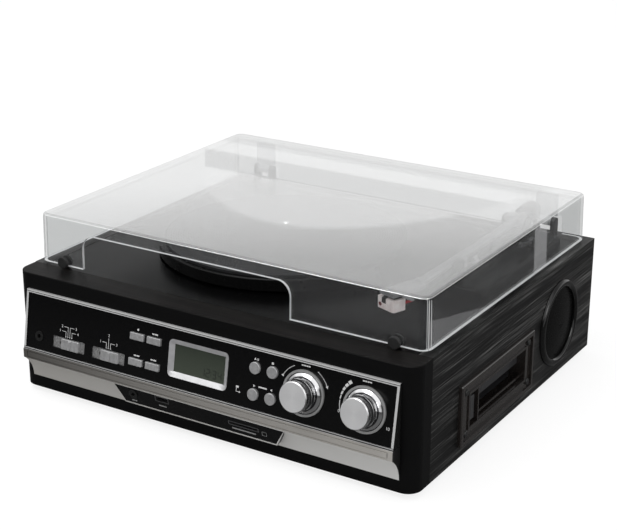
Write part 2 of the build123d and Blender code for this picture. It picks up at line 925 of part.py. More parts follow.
# Black socket plate under the ledge, with its headphone, memory stick and card sockets
with BuildPart() as port_plate:
    with BuildSketch(port_face):
        trapezoid(
            port_half_top - port_clearance,
            port_half_bottom - port_clearance,
            port_slope / 2 - port_clearance,
            port_clearance - port_slope / 2,
        )
    extrude(amount=-port_thickness)
    with BuildSketch(port_face):
        with Locations((headphone_x, headphone_up)):
            Circle(jack_barrel_radius + fit_clearance)
        with Locations((usb_x, usb_up)):
            Rectangle(usb_width + 2 * port_clearance, usb_height + 2 * port_clearance)
        with Locations((card_x, card_up)):
            Rectangle(card_width + 2 * port_clearance, card_height + 2 * port_clearance)
    extrude(amount=-port_thickness, mode=Mode.SUBTRACT)
finish(port_plate, "port_plate")

with BuildPart() as audio_jacks:
    for face, x, up in ((panel_face, aux_x, aux_up), (port_face, headphone_x, headphone_up)):
        with BuildSketch(spot(face, x, up, -panel_thickness)):
            Circle(jack_barrel_radius)
        extrude(amount=panel_thickness)
        with BuildSketch(spot(face, x, up)):
            Circle(jack_collar_radius)
        extrude(amount=jack_collar_proud)
        with BuildSketch(spot(face, x, up, -panel_thickness)):
            Rectangle(jack_body, jack_body)
        extrude(amount=-(jack_depth - panel_thickness))
    for face, x, up in ((panel_face, aux_x, aux_up), (port_face, headphone_x, headphone_up)):
        with BuildSketch(spot(face, x, up, jack_collar_proud)):
            Circle(jack_bore_radius)
        extrude(amount=-jack_depth, mode=Mode.SUBTRACT)
finish(audio_jacks, "audio_jacks")

usb_tongue_height = 1.8
usb_tongue_recess = 1.5
with BuildPart() as data_sockets:
    with BuildSketch(spot(port_face, usb_x, usb_up)):
        Rectangle(usb_width, usb_height)
        Rectangle(usb_width - 2 * usb_wall, usb_height - 2 * usb_wall, mode=Mode.SUBTRACT)
    extrude(amount=-usb_depth)
    with BuildSketch(spot(port_face, usb_x, usb_up, -usb_depth)):
        Rectangle(usb_width, usb_height)
    extrude(amount=-usb_wall)
    with BuildSketch(spot(port_face, usb_x, usb_up, -usb_depth)):
        with Locations((0, usb_height / 2 - usb_wall - usb_tongue_height / 2)):
            Rectangle(usb_width - 4 * usb_wall, usb_tongue_height)
    extrude(amount=usb_depth - usb_tongue_recess)
    with BuildSketch(spot(port_face, card_x, card_up)):
        Rectangle(card_width, card_height)
        Rectangle(card_width - 2 * card_wall, card_height - 2 * card_wall, mode=Mode.SUBTRACT)
    extrude(amount=-card_depth)
    with BuildSketch(spot(port_face, card_x, card_up, -card_depth)):
        Rectangle(card_width, card_height)
    extrude(amount=-card_wall)
finish(data_sockets, "data_sockets")


# Glossy deck plate between the wood sides, with the bearing for the spindle
pulley_x = spindle_x + motor_offset * cos(radians(motor_angle))
pulley_y = spindle_y + motor_offset * sin(radians(motor_angle))
deck_front_y = moulding_back_y + board_gap
with BuildPart() as deck_plate:
    with BuildSketch(Plane.XY.offset(deck_under)):
        with Locations((0, (deck_front_y + case_back_y) / 2)):
            Rectangle(2 * (inner_half - deck_gap), case_back_y - deck_front_y)
    extrude(amount=deck_thickness)
    with BuildSketch(Plane.XY.offset(deck_under)):
        with Locations((0, cleat_y)):
            Rectangle(2 * (inner_half - deck_gap), cleat_depth)
    extrude(amount=-cleat_height)
    with BuildSketch(front_plane(case_back_y)):
        with Locations((0, back_screw_rows[1])):
            with GridLocations(back_screw_pitch, 1, 3, 1):
                Circle(screw_shank_radius + fit_clearance)
    extrude(amount=back_thickness + cleat_depth, mode=Mode.SUBTRACT)
    with BuildSketch(Plane.XY.offset(case_top + bearing_proud)):
        with Locations((spindle_x, spindle_y)):
            Circle(bearing_radius)
    extrude(amount=-(bearing_proud + spindle_depth))
    with BuildSketch(Plane.XY.offset(case_top + bearing_proud)):
        with Locations((spindle_x, spindle_y)):
            Circle(spindle_shaft_radius + bearing_clearance)
    extrude(amount=-(bearing_proud + spindle_depth - deck_thickness), mode=Mode.SUBTRACT)
    with BuildSketch(Plane.XY.offset(case_top)):
        with Locations((pulley_x, pulley_y)):
            Circle(motor_hole_radius)
        with Locations((lift_post_x, lift_post_y)):
            Circle(lift_post_radius + 4 * fit_clearance)
    extrude(amount=-deck_thickness, mode=Mode.SUBTRACT)
finish(deck_plate, "deck_plate")


# Platter with its skirt, drive ring, hub and ribs, the mat on it and the spindle through it
platter_top = case_top + platter_lift + platter_height
platter_under = platter_top - platter_top_thickness
flange_bottom = case_top + bearing_proud + flange_gap
hub_bottom = flange_bottom + flange_thickness
ring_bottom = case_top + drive_ring_lift
with BuildPart() as platter:
    with BuildSketch(Plane.XY.offset(platter_under)):
        with Locations((spindle_x, spindle_y)):
            Circle(platter_radius)
    extrude(amount=platter_top_thickness)
    with BuildSketch(Plane.XY.offset(platter_under)):
        with Locations((spindle_x, spindle_y)):
            Circle(platter_radius)
            Circle(platter_radius - platter_skirt, mode=Mode.SUBTRACT)
    extrude(amount=-(platter_height - platter_top_thickness))
    with BuildSketch(Plane.XY.offset(platter_under)):
        with Locations((spindle_x, spindle_y)):
            Circle(drive_ring_radius)
            Circle(drive_ring_radius - drive_ring_wall, mode=Mode.SUBTRACT)
    extrude(amount=-(platter_under - ring_bottom))
    with BuildSketch(Plane.XY.offset(platter_under)):
        with Locations((spindle_x, spindle_y)):
            Circle(hub_radius)
    extrude(amount=-(platter_under - hub_bottom))
    with BuildSketch(Plane.XY.offset(platter_under)):
        with Locations((spindle_x, spindle_y)):
            with PolarLocations((hub_radius + drive_ring_radius - drive_ring_wall) / 2, rib_count):
                Rectangle(drive_ring_radius - drive_ring_wall - hub_radius + drive_ring_wall, rib_thickness)
    extrude(amount=-rib_height)
    with BuildSketch(Plane.XY.offset(platter_top)):
        with Locations((spindle_x, spindle_y)):
            Circle(spindle_shaft_radius + fit_clearance)
    extrude(amount=-2 * platter_height, mode=Mode.SUBTRACT)
    platter_rim = platter.edges().filter_by(GeomType.CIRCLE).group_by(Axis.Z)[-1].sort_by(SortBy.RADIUS)[-1]
    fillet(platter_rim, 1.0)
finish(platter, "platter")

with BuildPart() as platter_mat:
    with BuildSketch(Plane.XY.offset(platter_top)):
        with Locations((spindle_x, spindle_y)):
            Circle(mat_radius)
            Circle(spindle_shaft_radius + fit_clearance, mode=Mode.SUBTRACT)
    extrude(amount=mat_thickness)
finish(platter_mat, "platter_mat")

record_level = platter_top + mat_thickness
spindle_foot = case_top - spindle_depth + deck_thickness + spindle_foot_gap
with BuildPart() as spindle:
    with BuildSketch(Plane.XY.offset(spindle_foot)):
        with Locations((spindle_x, spindle_y)):
            Circle(spindle_shaft_radius)
    extrude(amount=record_level - spindle_foot)
    with BuildSketch(Plane.XY.offset(record_level)):
        with Locations((spindle_x, spindle_y)):
            Circle(spindle_radius)
    extrude(amount=spindle_proud)
    chamfer(spindle.edges().filter_by(GeomType.CIRCLE).group_by(Axis.Z)[-1], spindle_chamfer)
    with BuildSketch(Plane.XY.offset(flange_bottom)):
        with Locations((spindle_x, spindle_y)):
            Circle(flange_radius)
    extrude(amount=hub_bottom - flange_bottom)
finish(spindle, "spindle")


# Motor under the deck, its pulley, and the flat belt round the platter's drive ring
motor_bore_depth = 6.0
motor_shaft_gap = 1.0
with BuildPart() as motor:
    with BuildSketch(Plane.XY.offset(deck_under)):
        with Locations((pulley_x, pulley_y)):
            Circle(motor_radius)
    extrude(amount=-motor_height)
    with BuildSketch(Plane.XY.offset(deck_under)):
        with Locations((pulley_x, pulley_y)):
            Circle(motor_shaft_radius + shaft_clearance)
    extrude(amount=-motor_bore_depth, mode=Mode.SUBTRACT)
finish(motor, "motor")

with BuildPart() as motor_pulley:
    with BuildSketch(Plane.XY.offset(case_top + pulley_bottom)):
        with Locations((pulley_x, pulley_y)):
            Circle(pulley_radius)
    extrude(amount=pulley_top - pulley_bottom)
    with BuildSketch(Plane.XY.offset(case_top + pulley_bottom)):
        with Locations((pulley_x, pulley_y)):
            Circle(motor_shaft_radius)
    extrude(amount=-(pulley_bottom + deck_thickness + motor_bore_depth - motor_shaft_gap))
finish(motor_pulley, "motor_pulley")


def belt_outline(thickness):
    """The loop round the drive ring and the pulley, as far outside them as given."""
    with Locations((spindle_x, spindle_y)):
        Circle(drive_ring_radius + belt_clearance + thickness)
    with Locations((pulley_x, pulley_y)):
        Circle(pulley_radius + belt_clearance + thickness)


with BuildPart() as drive_belt:
    with BuildSketch(Plane.XY.offset(case_top + belt_bottom)):
        belt_outline(belt_thickness)
        make_hull()
    extrude(amount=belt_width)
    with BuildSketch(Plane.XY.offset(case_top + belt_bottom)):
        belt_outline(0)
        make_hull()
    extrude(amount=belt_width, mode=Mode.SUBTRACT)
finish(drive_belt, "drive_belt")


# Raised block at the right of the deck: arm turret, arm rest, ears of the cueing lever, speed slot
plateau_mid_x = (plateau_left + plateau_right) / 2
plateau_mid_y = case_front_y + (plateau_front_setback + plateau_back_setback) / 2
plateau_width = plateau_right - plateau_left
plateau_length = plateau_back_setback - plateau_front_setback
yoke_bottom = plateau_top + arm_base_height + pillar_height + swing_gap
yoke_floor_top = yoke_bottom + yoke_floor
rest_y = arm_y - rest_distance
rest_floor = arm_z - tube_radius - swing_gap
rest_wall_x = arm_x + tube_radius + swing_gap
clip_x = rest_wall_x + rest_wall / 2
cue_y = case_front_y + cue_setback
cue_z = plateau_top + cue_height
cue_gap = cue_width + 2 * swing_gap
speed_y = case_front_y + speed_setback
with BuildPart() as arm_plateau:
    with BuildSketch(Plane.XY.offset(case_top)):
        with Locations((plateau_mid_x, plateau_mid_y)):
            RectangleRounded(plateau_width, plateau_length, plateau_corner)
    extrude(amount=plateau_height)
    fillet(arm_plateau.faces().sort_by(Axis.Z)[-1].edges(), plateau_edge)
    with BuildSketch(Plane.XY.offset(case_top)):
        with Locations((plateau_mid_x, plateau_mid_y)):
            RectangleRounded(
                plateau_width - 2 * plateau_wall,
                plateau_length - 2 * plateau_wall,
                plateau_corner - plateau_wall,
            )
    extrude(amount=plateau_height - plateau_wall, mode=Mode.SUBTRACT)
    with BuildSketch(Plane.XY.offset(plateau_top)):
        with Locations((arm_x, arm_y)):
            Circle(arm_base_radius)
    extrude(amount=arm_base_height)
    with BuildSketch(Plane.XY.offset(plateau_top + arm_base_height)):
        with Locations((arm_x, arm_y)):
            Circle(pillar_radius)
    extrude(amount=pillar_height)
    with BuildSketch(Plane.XY.offset(plateau_top + arm_base_height)):
        with Locations((arm_x, arm_y)):
            Circle(pivot_radius)
    extrude(amount=pillar_height + swing_gap + yoke_floor)
    with BuildSketch(front_plane(rest_y + rest_length / 2)):
        with Locations((arm_x - tube_radius, plateau_top)):
            Rectangle(2 * tube_radius + swing_gap + rest_wall, rest_floor - plateau_top, align=Align.MIN)
        with Locations((rest_wall_x, plateau_top)):
            Rectangle(rest_wall, arm_z + clip_knuckle - plateau_top, align=Align.MIN)
    extrude(amount=rest_length)
    with BuildSketch(front_plane(rest_y + rest_length / 2)):
        with Locations((clip_x, arm_z)):
            Circle(clip_pin)
    extrude(amount=-(clip_width + 2 * swing_gap))
    with BuildSketch(side_plane(cue_x - cue_gap / 2 - cue_ear)):
        with Locations((cue_y, cue_z)):
            Circle(cue_radius)
        with Locations((cue_y, plateau_top)):
            Rectangle(2 * cue_radius, cue_height, align=(Align.CENTER, Align.MIN))
    extrude(amount=cue_gap + 2 * cue_ear)
    with BuildSketch(side_plane(cue_x - cue_gap / 2)):
        with Locations((cue_y, plateau_top)):
            Rectangle(3 * cue_radius, 3 * cue_height, align=(Align.CENTER, Align.MIN))
    extrude(amount=cue_gap, mode=Mode.SUBTRACT)
    with BuildSketch(side_plane(cue_x - cue_gap / 2)):
        with Locations((cue_y, cue_z)):
            Circle(cue_pin)
    extrude(amount=cue_gap)
    with BuildSketch(Plane.XY.offset(plateau_top)):
        with Locations((lift_post_x, lift_post_y)):
            Circle(lift_post_radius + shaft_clearance)
        with Locations((speed_x, speed_y + speed_travel / 2)):
            Rectangle(speed_stem + 2 * slider_bed_gap, speed_travel + speed_stem + 2 * slider_bed_gap)
    extrude(amount=-plateau_wall, mode=Mode.SUBTRACT)
finish(arm_plateau, "arm_plateau")

speed_foot = 2.0
with BuildPart() as speed_lever:
    with BuildSketch(Plane.XY.offset(plateau_top + slider_bed_gap)):
        with Locations((speed_x, speed_y)):
            RectangleRounded(speed_cap_width, speed_cap_length, slider_edge)
    extrude(amount=speed_cap_height)
    fillet(speed_lever.faces().sort_by(Axis.Z)[-1].edges(), slider_edge / 2)
    with BuildSketch(Plane.XY.offset(plateau_top + slider_bed_gap)):
        with Locations((speed_x, speed_y)):
            Rectangle(speed_stem, speed_stem)
    extrude(amount=-(plateau_wall + 2 * slider_bed_gap + speed_foot))
    with BuildSketch(Plane.XY.offset(plateau_top - plateau_wall - slider_bed_gap)):
        with Locations((speed_x, speed_y)):
            Rectangle(2 * speed_stem, speed_stem)
    extrude(amount=-speed_foot)
finish(speed_lever, "speed_lever")


# Turning yoke on the turret, and the arm that rocks between its cheeks
with BuildPart() as arm_yoke:
    with BuildSketch(Plane.XY.offset(yoke_bottom)):
        with Locations((arm_x, arm_y)):
            Rectangle(yoke_width, yoke_length)
    extrude(amount=arm_z + yoke_rise - yoke_bottom)
    with BuildSketch(Plane.XY.offset(yoke_floor_top)):
        with Locations((arm_x, arm_y)):
            Rectangle(yoke_width - 2 * yoke_cheek, yoke_length)
    extrude(amount=arm_height, mode=Mode.SUBTRACT)
    with BuildSketch(Plane.XY.offset(yoke_bottom)):
        with Locations((arm_x, arm_y)):
            Circle(pivot_radius + shaft_clearance)
    extrude(amount=yoke_floor, mode=Mode.SUBTRACT)
    with BuildSketch(side_plane(arm_x - yoke_width / 2)):
        with Locations((arm_y, arm_z)):
            Circle(trunnion_pin_radius + shaft_clearance)
    extrude(amount=yoke_width, mode=Mode.SUBTRACT)
    fillet(arm_yoke.edges().filter_by(Axis.X).group_by(Axis.Z)[-1], yoke_length / 4)
finish(arm_yoke, "arm_yoke")

head_angle = radians(headshell_angle)
tube_end_y = arm_y - arm_length + stylus_reach * cos(head_angle)
head_plane = Plane(
    origin=(arm_x, tube_end_y, arm_z),
    x_dir=(-sin(head_angle), -cos(head_angle), 0),
    z_dir=(0, 0, 1),
)
head_overlap = 3.0
collar_wall = 1.0
collar_radius = tube_radius + collar_wall
with BuildPart() as tonearm:
    with BuildSketch(front_plane(arm_y + arm_tail)):
        with Locations((arm_x, arm_z)):
            Circle(tube_radius)
    extrude(amount=arm_y + arm_tail - tube_end_y)
    with BuildSketch(front_plane(tube_end_y + collar_length)):
        with Locations((arm_x, arm_z)):
            Circle(collar_radius)
    extrude(amount=collar_length)
    with BuildSketch(side_plane(arm_x - trunnion_width / 2)):
        with Locations((arm_y, arm_z)):
            Rectangle(yoke_length, trunnion_height)
    extrude(amount=trunnion_width)
    with BuildSketch(side_plane(arm_x - yoke_width / 2 + swing_gap)):
        with Locations((arm_y, arm_z)):
            Circle(trunnion_pin_radius)
    extrude(amount=yoke_width - 2 * swing_gap)
    with BuildSketch(head_plane.offset(-headshell_thickness / 2)):
        with Locations((headshell_length / 2 - head_overlap, 0)):
            RectangleRounded(headshell_length, headshell_width, slider_edge)
        with Locations((stylus_reach, headshell_width / 2)):
            Rectangle(finger_width, finger_length, align=(Align.CENTER, Align.MIN))
    extrude(amount=headshell_thickness)
    with BuildSketch(head_plane.offset(headshell_thickness / 2)):
        with Locations((stylus_reach, headshell_width / 2 + 1)):
            Rectangle(finger_width, finger_length, align=(Align.CENTER, Align.MIN))
    extrude(amount=-(headshell_thickness - finger_thickness), mode=Mode.SUBTRACT)
finish(tonearm, "tonearm")

with BuildPart() as counterweight:
    with BuildSketch(front_plane(arm_y + weight_start + weight_length)):
        with Locations((arm_x, arm_z)):
            Circle(weight_radius)
    extrude(amount=weight_length)
    fillet(counterweight.edges().filter_by(GeomType.CIRCLE), weight_round)
    with BuildSketch(front_plane(arm_y + weight_start + weight_length)):
        with Locations((arm_x, arm_z)):
            Circle(tube_radius + fit_clearance)
    extrude(amount=weight_length, mode=Mode.SUBTRACT)
finish(counterweight, "counterweight")

head_under = head_plane.offset(-headshell_thickness / 2)
cartridge_under = head_under.offset(-cartridge_height)
with BuildPart() as cartridge:
    with BuildSketch(head_under):
        with Locations((stylus_reach - stylus_width, 0)):
            Rectangle(cartridge_length, cartridge_width)
    extrude(amount=-cartridge_height)
    with BuildSketch(cartridge_under):
        with Locations((stylus_reach - stylus_width, 0)):
            Rectangle(cartridge_length / 2, stylus_width)
    extrude(amount=-stylus_drop)
finish(cartridge, "cartridge")

guard_floor = cartridge_under.offset(-(stylus_drop + swing_gap + guard_wall))
guard_back = stylus_reach - stylus_width
cartridge_front = stylus_reach - stylus_width + cartridge_length / 2
with BuildPart() as stylus_guard:
    with BuildSketch(guard_floor):
        with Locations((guard_back, 0)):
            Rectangle(guard_length, guard_width, align=(Align.MIN, Align.CENTER))
    extrude(amount=guard_height)
    fillet(stylus_guard.edges().filter_by(Axis.Z), guard_round)
    with BuildSketch(guard_floor.offset(guard_wall)):
        with Locations((guard_back, 0)):
            Rectangle(
                cartridge_front - guard_back + slider_bed_gap,
                cartridge_width + 2 * slider_bed_gap,
                align=(Align.MIN, Align.CENTER),
            )
    extrude(amount=guard_height, mode=Mode.SUBTRACT)
finish(stylus_guard, "stylus_guard")


# Cueing lever, the curved bar that it raises under the arm, and the hook that holds the arm down
with BuildPart() as cue_lever:
    with BuildSketch(side_plane(cue_x - cue_width / 2)):
        with Locations((cue_y, cue_z)):
            Circle(cue_radius)
            Circle(cue_pin + shaft_clearance, mode=Mode.SUBTRACT)
    extrude(amount=cue_width)
    cue_arm_plane = Plane(
        origin=(cue_x - cue_width / 2, cue_y, cue_z),
        x_dir=(0, -cos(radians(cue_slope)), sin(radians(cue_slope))),
        z_dir=(-1, 0, 0),
    )
    with BuildSketch(cue_arm_plane):
        with Locations((cue_pin + shaft_clearance + 1, 0)):
            Rectangle(cue_length, cue_thickness, align=(Align.MIN, Align.CENTER))
    extrude(amount=-cue_width)
    with BuildSketch(cue_arm_plane):
        with Locations((cue_length, cue_thickness / 2)):
            Circle(cue_thickness)
    extrude(amount=-cue_width)
finish(cue_lever, "cue_lever")

lift_top = arm_z - tube_radius - lift_gap
lift_arc = lift_end_angle - lift_start_angle
lift_from = 270 - lift_end_angle
lift_inner = lift_radius - lift_bar / 2
lift_outer = lift_radius + lift_bar / 2
with BuildPart() as arm_lift:
    with BuildSketch(Plane.XY.offset(lift_top)):
        with BuildLine():
            outer_arc = CenterArc((arm_x, arm_y), lift_outer, lift_from, lift_arc)
            inner_arc = CenterArc((arm_x, arm_y), lift_inner, lift_from, lift_arc)
            Line(outer_arc @ 0, inner_arc @ 0)
            Line(outer_arc @ 1, inner_arc @ 1)
        make_face()
    extrude(amount=-lift_thickness)
    with BuildSketch(Plane.XY.offset(lift_top - lift_thickness)):
        with Locations((lift_post_x, lift_post_y)):
            Circle(lift_post_radius)
    extrude(amount=-(lift_top - lift_thickness - case_top - swing_gap))
finish(arm_lift, "arm_lift")

clip_plane = Plane(
    origin=(clip_x, rest_y + rest_length / 2 + swing_gap + clip_width, arm_z),
    x_dir=(cos(radians(180 - clip_open)), 0, sin(radians(180 - clip_open))),
    z_dir=(0, -1, 0),
)
clip_rise = tube_radius + swing_gap + clip_thickness
clip_reach = rest_wall / 2 + 2 * tube_radius + 2 * swing_gap + clip_thickness
with BuildPart() as arm_clip:
    with BuildSketch(clip_plane):
        Circle(clip_knuckle)
        Rectangle(clip_thickness, clip_rise, align=(Align.CENTER, Align.MAX))
        with Locations((-clip_thickness / 2, -clip_rise)):
            Rectangle(clip_reach + clip_thickness / 2, clip_thickness, align=Align.MIN)
        with Locations((clip_reach, -clip_rise)):
            Rectangle(clip_thickness, clip_hook + clip_thickness, align=(Align.MAX, Align.MIN))
        Circle(clip_pin + shaft_clearance, mode=Mode.SUBTRACT)
    extrude(amount=clip_width)
finish(arm_clip, "arm_clip")


# Clear cover: drafted walls, the wide cut in its front edge and a notch at each hinge
cover_width = case_width - 2 * cover_inset_x
cover_depth = cover_back_y - cover_front_y
cover_mid_y = (cover_front_y + cover_back_y) / 2
notch_height = hinge_height + hinge_knuckle_radius + hinge_neck - cover_lift
notch_width = hinge_plate_width + 2 * hinge_ear
with BuildPart() as dust_cover:
    with BuildSketch(Plane.XY.offset(cover_bottom)):
        with Locations((0, cover_mid_y)):
            RectangleRounded(cover_width, cover_depth, cover_corner)
    extrude(amount=cover_height, taper=cover_draft)
    fillet(dust_cover.faces().sort_by(Axis.Z)[-1].edges(), cover_edge)
    with BuildSketch(Plane.XY.offset(cover_bottom)):
        with Locations((0, cover_mid_y)):
            RectangleRounded(
                cover_width - 2 * cover_wall,
                cover_depth - 2 * cover_wall,
                cover_corner - cover_wall,
            )
    extrude(amount=cover_height - cover_wall, taper=cover_draft, mode=Mode.SUBTRACT)
    with BuildSketch(front_plane(cover_front_y + 2 * cover_wall)):
        with Locations(((cutout_left + cutout_right) / 2, cover_bottom)):
            RectangleRounded(cutout_right - cutout_left, 2 * cutout_height, cutout_corner)
    extrude(amount=4 * cover_wall, mode=Mode.SUBTRACT)
    with BuildSketch(front_plane(cover_back_y + cover_wall)):
        with Locations((0, cover_bottom)):
            with GridLocations(2 * hinge_x, 1, 2, 1):
                Rectangle(notch_width, 2 * notch_height)
    extrude(amount=4 * cover_wall, mode=Mode.SUBTRACT)
finish(dust_cover, "dust_cover")

bumper_z = case_top + bumper_lift + bumper_radius
bumper_length = cover_wall + 2 * bumper_flange
with BuildPart() as cover_bumpers:
    with BuildSketch(front_plane(cover_front_y + cover_wall + bumper_flange)):
        with Locations((0, bumper_z)):
            with GridLocations(2 * bumper_x, 1, 2, 1):
                Circle(bumper_radius)
    extrude(amount=bumper_length)
    fillet(cover_bumpers.edges().filter_by(GeomType.CIRCLE), bumper_round)
    with BuildSketch(side_plane(-half_width)):
        with Locations((cover_front_y - bumper_neck_gap, cover_bottom - bumper_neck_gap)):
            Rectangle(cover_wall + 4 * bumper_neck_gap, 3 * bumper_radius, align=Align.MIN)
    extrude(amount=case_width, mode=Mode.SUBTRACT)
finish(cover_bumpers, "cover_bumpers")


# Hinges: a fixed bracket on the deck with its pin, and an arm inside the back wall of the cover
hinge_inner = hinge_knuckle_width + 2 * hinge_gap
hinge_outer = hinge_inner + 2 * hinge_ear
with BuildPart() as hinge_brackets:
    for side in (-1, 1):
        with BuildSketch(side_plane(side * hinge_x - hinge_outer / 2)):
            with Locations((hinge_y, hinge_z)):
                Circle(hinge_knuckle_radius)
            with Locations((hinge_y, case_top)):
                Rectangle(2 * hinge_knuckle_radius, hinge_height, align=(Align.CENTER, Align.MIN))
        extrude(amount=hinge_outer)
    for side in (-1, 1):
        with BuildSketch(side_plane(side * hinge_x - hinge_inner / 2)):
            with Locations((hinge_y, case_top)):
                Rectangle(4 * hinge_knuckle_radius, 2 * hinge_height, align=(Align.CENTER, Align.MIN))
        extrude(amount=hinge_inner, mode=Mode.SUBTRACT)
    with BuildSketch(Plane.XY.offset(case_top)):
        with Locations((0, hinge_y + hinge_knuckle_radius - hinge_base_length / 2)):
            with GridLocations(2 * hinge_x, 1, 2, 1):
                Rectangle(hinge_outer, hinge_base_length)
    extrude(amount=hinge_base_thickness)
    for side in (-1, 1):
        with BuildSketch(side_plane(side * hinge_x - hinge_outer / 2)):
            with Locations((hinge_y, hinge_z)):
                Circle(hinge_pin_radius)
        extrude(amount=hinge_outer)
finish(hinge_brackets, "hinge_brackets")

cover_inner_y = cover_back_y - cover_wall
hinge_plate_back = cover_inner_y - hinge_plate_gap
hinge_neck_top = hinge_z + hinge_knuckle_radius + hinge_neck
with BuildPart() as hinge_arms:
    for side in (-1, 1):
        with BuildSketch(side_plane(side * hinge_x - hinge_knuckle_width / 2)):
            with Locations((hinge_y, hinge_z)):
                Circle(hinge_knuckle_radius)
            with Locations((hinge_plate_back, hinge_z)):
                Rectangle(hinge_plate_thickness, hinge_neck_top - hinge_z, align=(Align.MAX, Align.MIN))
            with Locations((hinge_y, hinge_z)):
                Circle(hinge_pin_radius + shaft_clearance, mode=Mode.SUBTRACT)
        extrude(amount=hinge_knuckle_width)
        with BuildSketch(side_plane(side * hinge_x - hinge_plate_width / 2)):
            with Locations((hinge_plate_back, hinge_neck_top)):
                Rectangle(hinge_plate_thickness, hinge_plate_height, align=(Align.MAX, Align.MIN))
        extrude(amount=hinge_plate_width)
finish(hinge_arms, "hinge_arms")


# Tape slot in the right side: stepped frame, its plug through the wood, button bay and slot
tape_face = spot(side_plane(half_width), tape_y, tape_z)
tape_half = tape_slot_length / 2
bay_end = -tape_half + tape_button_bay
slot_start = bay_end + tape_divider
slot_mid = (slot_start + tape_half) / 2
slot_length = tape_half - slot_start
door_axis_up = tape_slot_height / 2 - tape_door_gap - tape_door_thickness / 2
door_axis_in = tape_door_recess + tape_door_thickness / 2
button_mid = -tape_half + tape_button_bay / 2
with BuildPart() as tape_bezel:
    with BuildSketch(tape_face):
        RectangleRounded(tape_frame_length, tape_frame_height, tape_frame_corner)
    extrude(amount=side_proud)
    fillet(tape_bezel.faces().sort_by(Axis.X)[-1].edges(), tape_frame_round)
    with BuildSketch(tape_face.offset(tape_face_proud)):
        RectangleRounded(
            tape_frame_length - 2 * tape_frame_rim,
            tape_frame_height - 2 * tape_frame_rim,
            tape_frame_corner / 2,
        )
    extrude(amount=side_proud, mode=Mode.SUBTRACT)
    with BuildSketch(tape_face.offset(tape_face_proud)):
        Rectangle(tape_slot_length + 2 * tape_lip, tape_slot_height + 2 * tape_lip)
    extrude(amount=tape_lip_proud - tape_face_proud)
    with BuildSketch(tape_face):
        Rectangle(tape_plug_length, tape_plug_height)
    extrude(amount=-side_thickness)
    with BuildSketch(tape_face.offset(tape_lip_proud)):
        with Locations((slot_mid, 0)):
            Rectangle(slot_length, tape_slot_height)
    extrude(amount=-2 * side_thickness, mode=Mode.SUBTRACT)
    with BuildSketch(tape_face.offset(tape_lip_proud)):
        with Locations((button_mid, 0)):
            Rectangle(tape_button_bay, tape_slot_height)
    extrude(amount=-(tape_lip_proud + tape_face_thickness), mode=Mode.SUBTRACT)
    with BuildSketch(tape_face):
        with Locations((button_mid, 0)):
            Rectangle(tape_button_width + 2 * slider_bed_gap, tape_button_height + 2 * slider_bed_gap)
        with GridLocations(2 * tape_screw_x, 2 * tape_screw_y, 2, 2):
            Circle(screw_shank_radius + fit_clearance)
    extrude(amount=2 * side_thickness, both=True, mode=Mode.SUBTRACT)
    with BuildSketch(tape_face.offset(-tape_face_thickness)):
        with Locations((slot_mid, -tape_slot_height / 2 + tape_rail_lift)):
            Rectangle(slot_length, tape_rail_height)
    extrude(amount=tape_face_thickness / 2)
    with BuildSketch(front_plane(tape_y + tape_half + 2 * tape_divider)):
        with Locations((half_width - door_axis_in, tape_z + door_axis_up)):
            Circle(tape_door_pin + shaft_clearance)
    extrude(amount=slot_length + 3 * tape_divider, mode=Mode.SUBTRACT)
finish(tape_bezel, "tape_bezel")

with BuildPart() as tape_door:
    with BuildSketch(front_plane(tape_y + tape_half - tape_door_gap)):
        with Locations((half_width - door_axis_in, tape_z + door_axis_up)):
            Circle(tape_door_thickness / 2)
            Rectangle(tape_door_thickness, tape_door_height, align=(Align.CENTER, Align.MAX))
    extrude(amount=slot_length - 2 * tape_door_gap)
    with BuildSketch(front_plane(tape_y + tape_half + tape_divider)):
        with Locations((half_width - door_axis_in, tape_z + door_axis_up)):
            Circle(tape_door_pin)
    extrude(amount=slot_length + 2 * tape_divider - tape_door_gap)
finish(tape_door, "tape_door")

button_reach = tape_button_recess + side_thickness + slider_bed_gap + tape_divider
with BuildPart() as eject_button:
    with BuildSketch(tape_face.offset(tape_button_recess)):
        with Locations((button_mid, 0)):
            RectangleRounded(tape_button_width, tape_button_height, slider_edge)
    extrude(amount=-button_reach)
    fillet(eject_button.faces().sort_by(Axis.X)[-1].edges(), slider_edge / 2)
    with BuildSketch(tape_face.offset(-side_thickness - slider_bed_gap)):
        with Locations((button_mid, 0)):
            Rectangle(tape_button_width + 2 * tape_divider, tape_button_height + 2 * tape_divider)
    extrude(amount=-tape_divider)
finish(eject_button, "eject_button")

# Screws: four round heads in the tape slot's frame, and two rows of three in the back board
with BuildPart() as case_screws:
    with BuildSketch(tape_face.offset(tape_face_proud)):
        with GridLocations(2 * tape_screw_x, 2 * tape_screw_y, 2, 2):
            Circle(screw_head_radius)
    extrude(amount=screw_head_height)
    with BuildSketch(front_plane(case_back_y)):
        for screw_z in back_screw_rows:
            with Locations((0, screw_z)):
                with GridLocations(back_screw_pitch, 1, 3, 1):
                    Circle(screw_head_radius)
    extrude(amount=-screw_head_height)
    fillet(case_screws.faces().filter_by(Axis.X).sort_by(Axis.X)[-4:].edges(), screw_head_height / 2)
    fillet(case_screws.faces().filter_by(Axis.Y).sort_by(Axis.Y)[-6:].edges(), screw_head_height / 2)
    with BuildSketch(tape_face.offset(tape_face_proud)):
        with GridLocations(2 * tape_screw_x, 2 * tape_screw_y, 2, 2):
            Circle(screw_shank_radius)
    extrude(amount=-(tape_face_proud + side_thickness + tape_wall))
    with BuildSketch(front_plane(case_back_y)):
        for screw_z in back_screw_rows:
            with Locations((0, screw_z)):
                with GridLocations(back_screw_pitch, 1, 3, 1):
                    Circle(screw_shank_radius)
    extrude(amount=back_screw_length)
finish(case_screws, "case_screws")

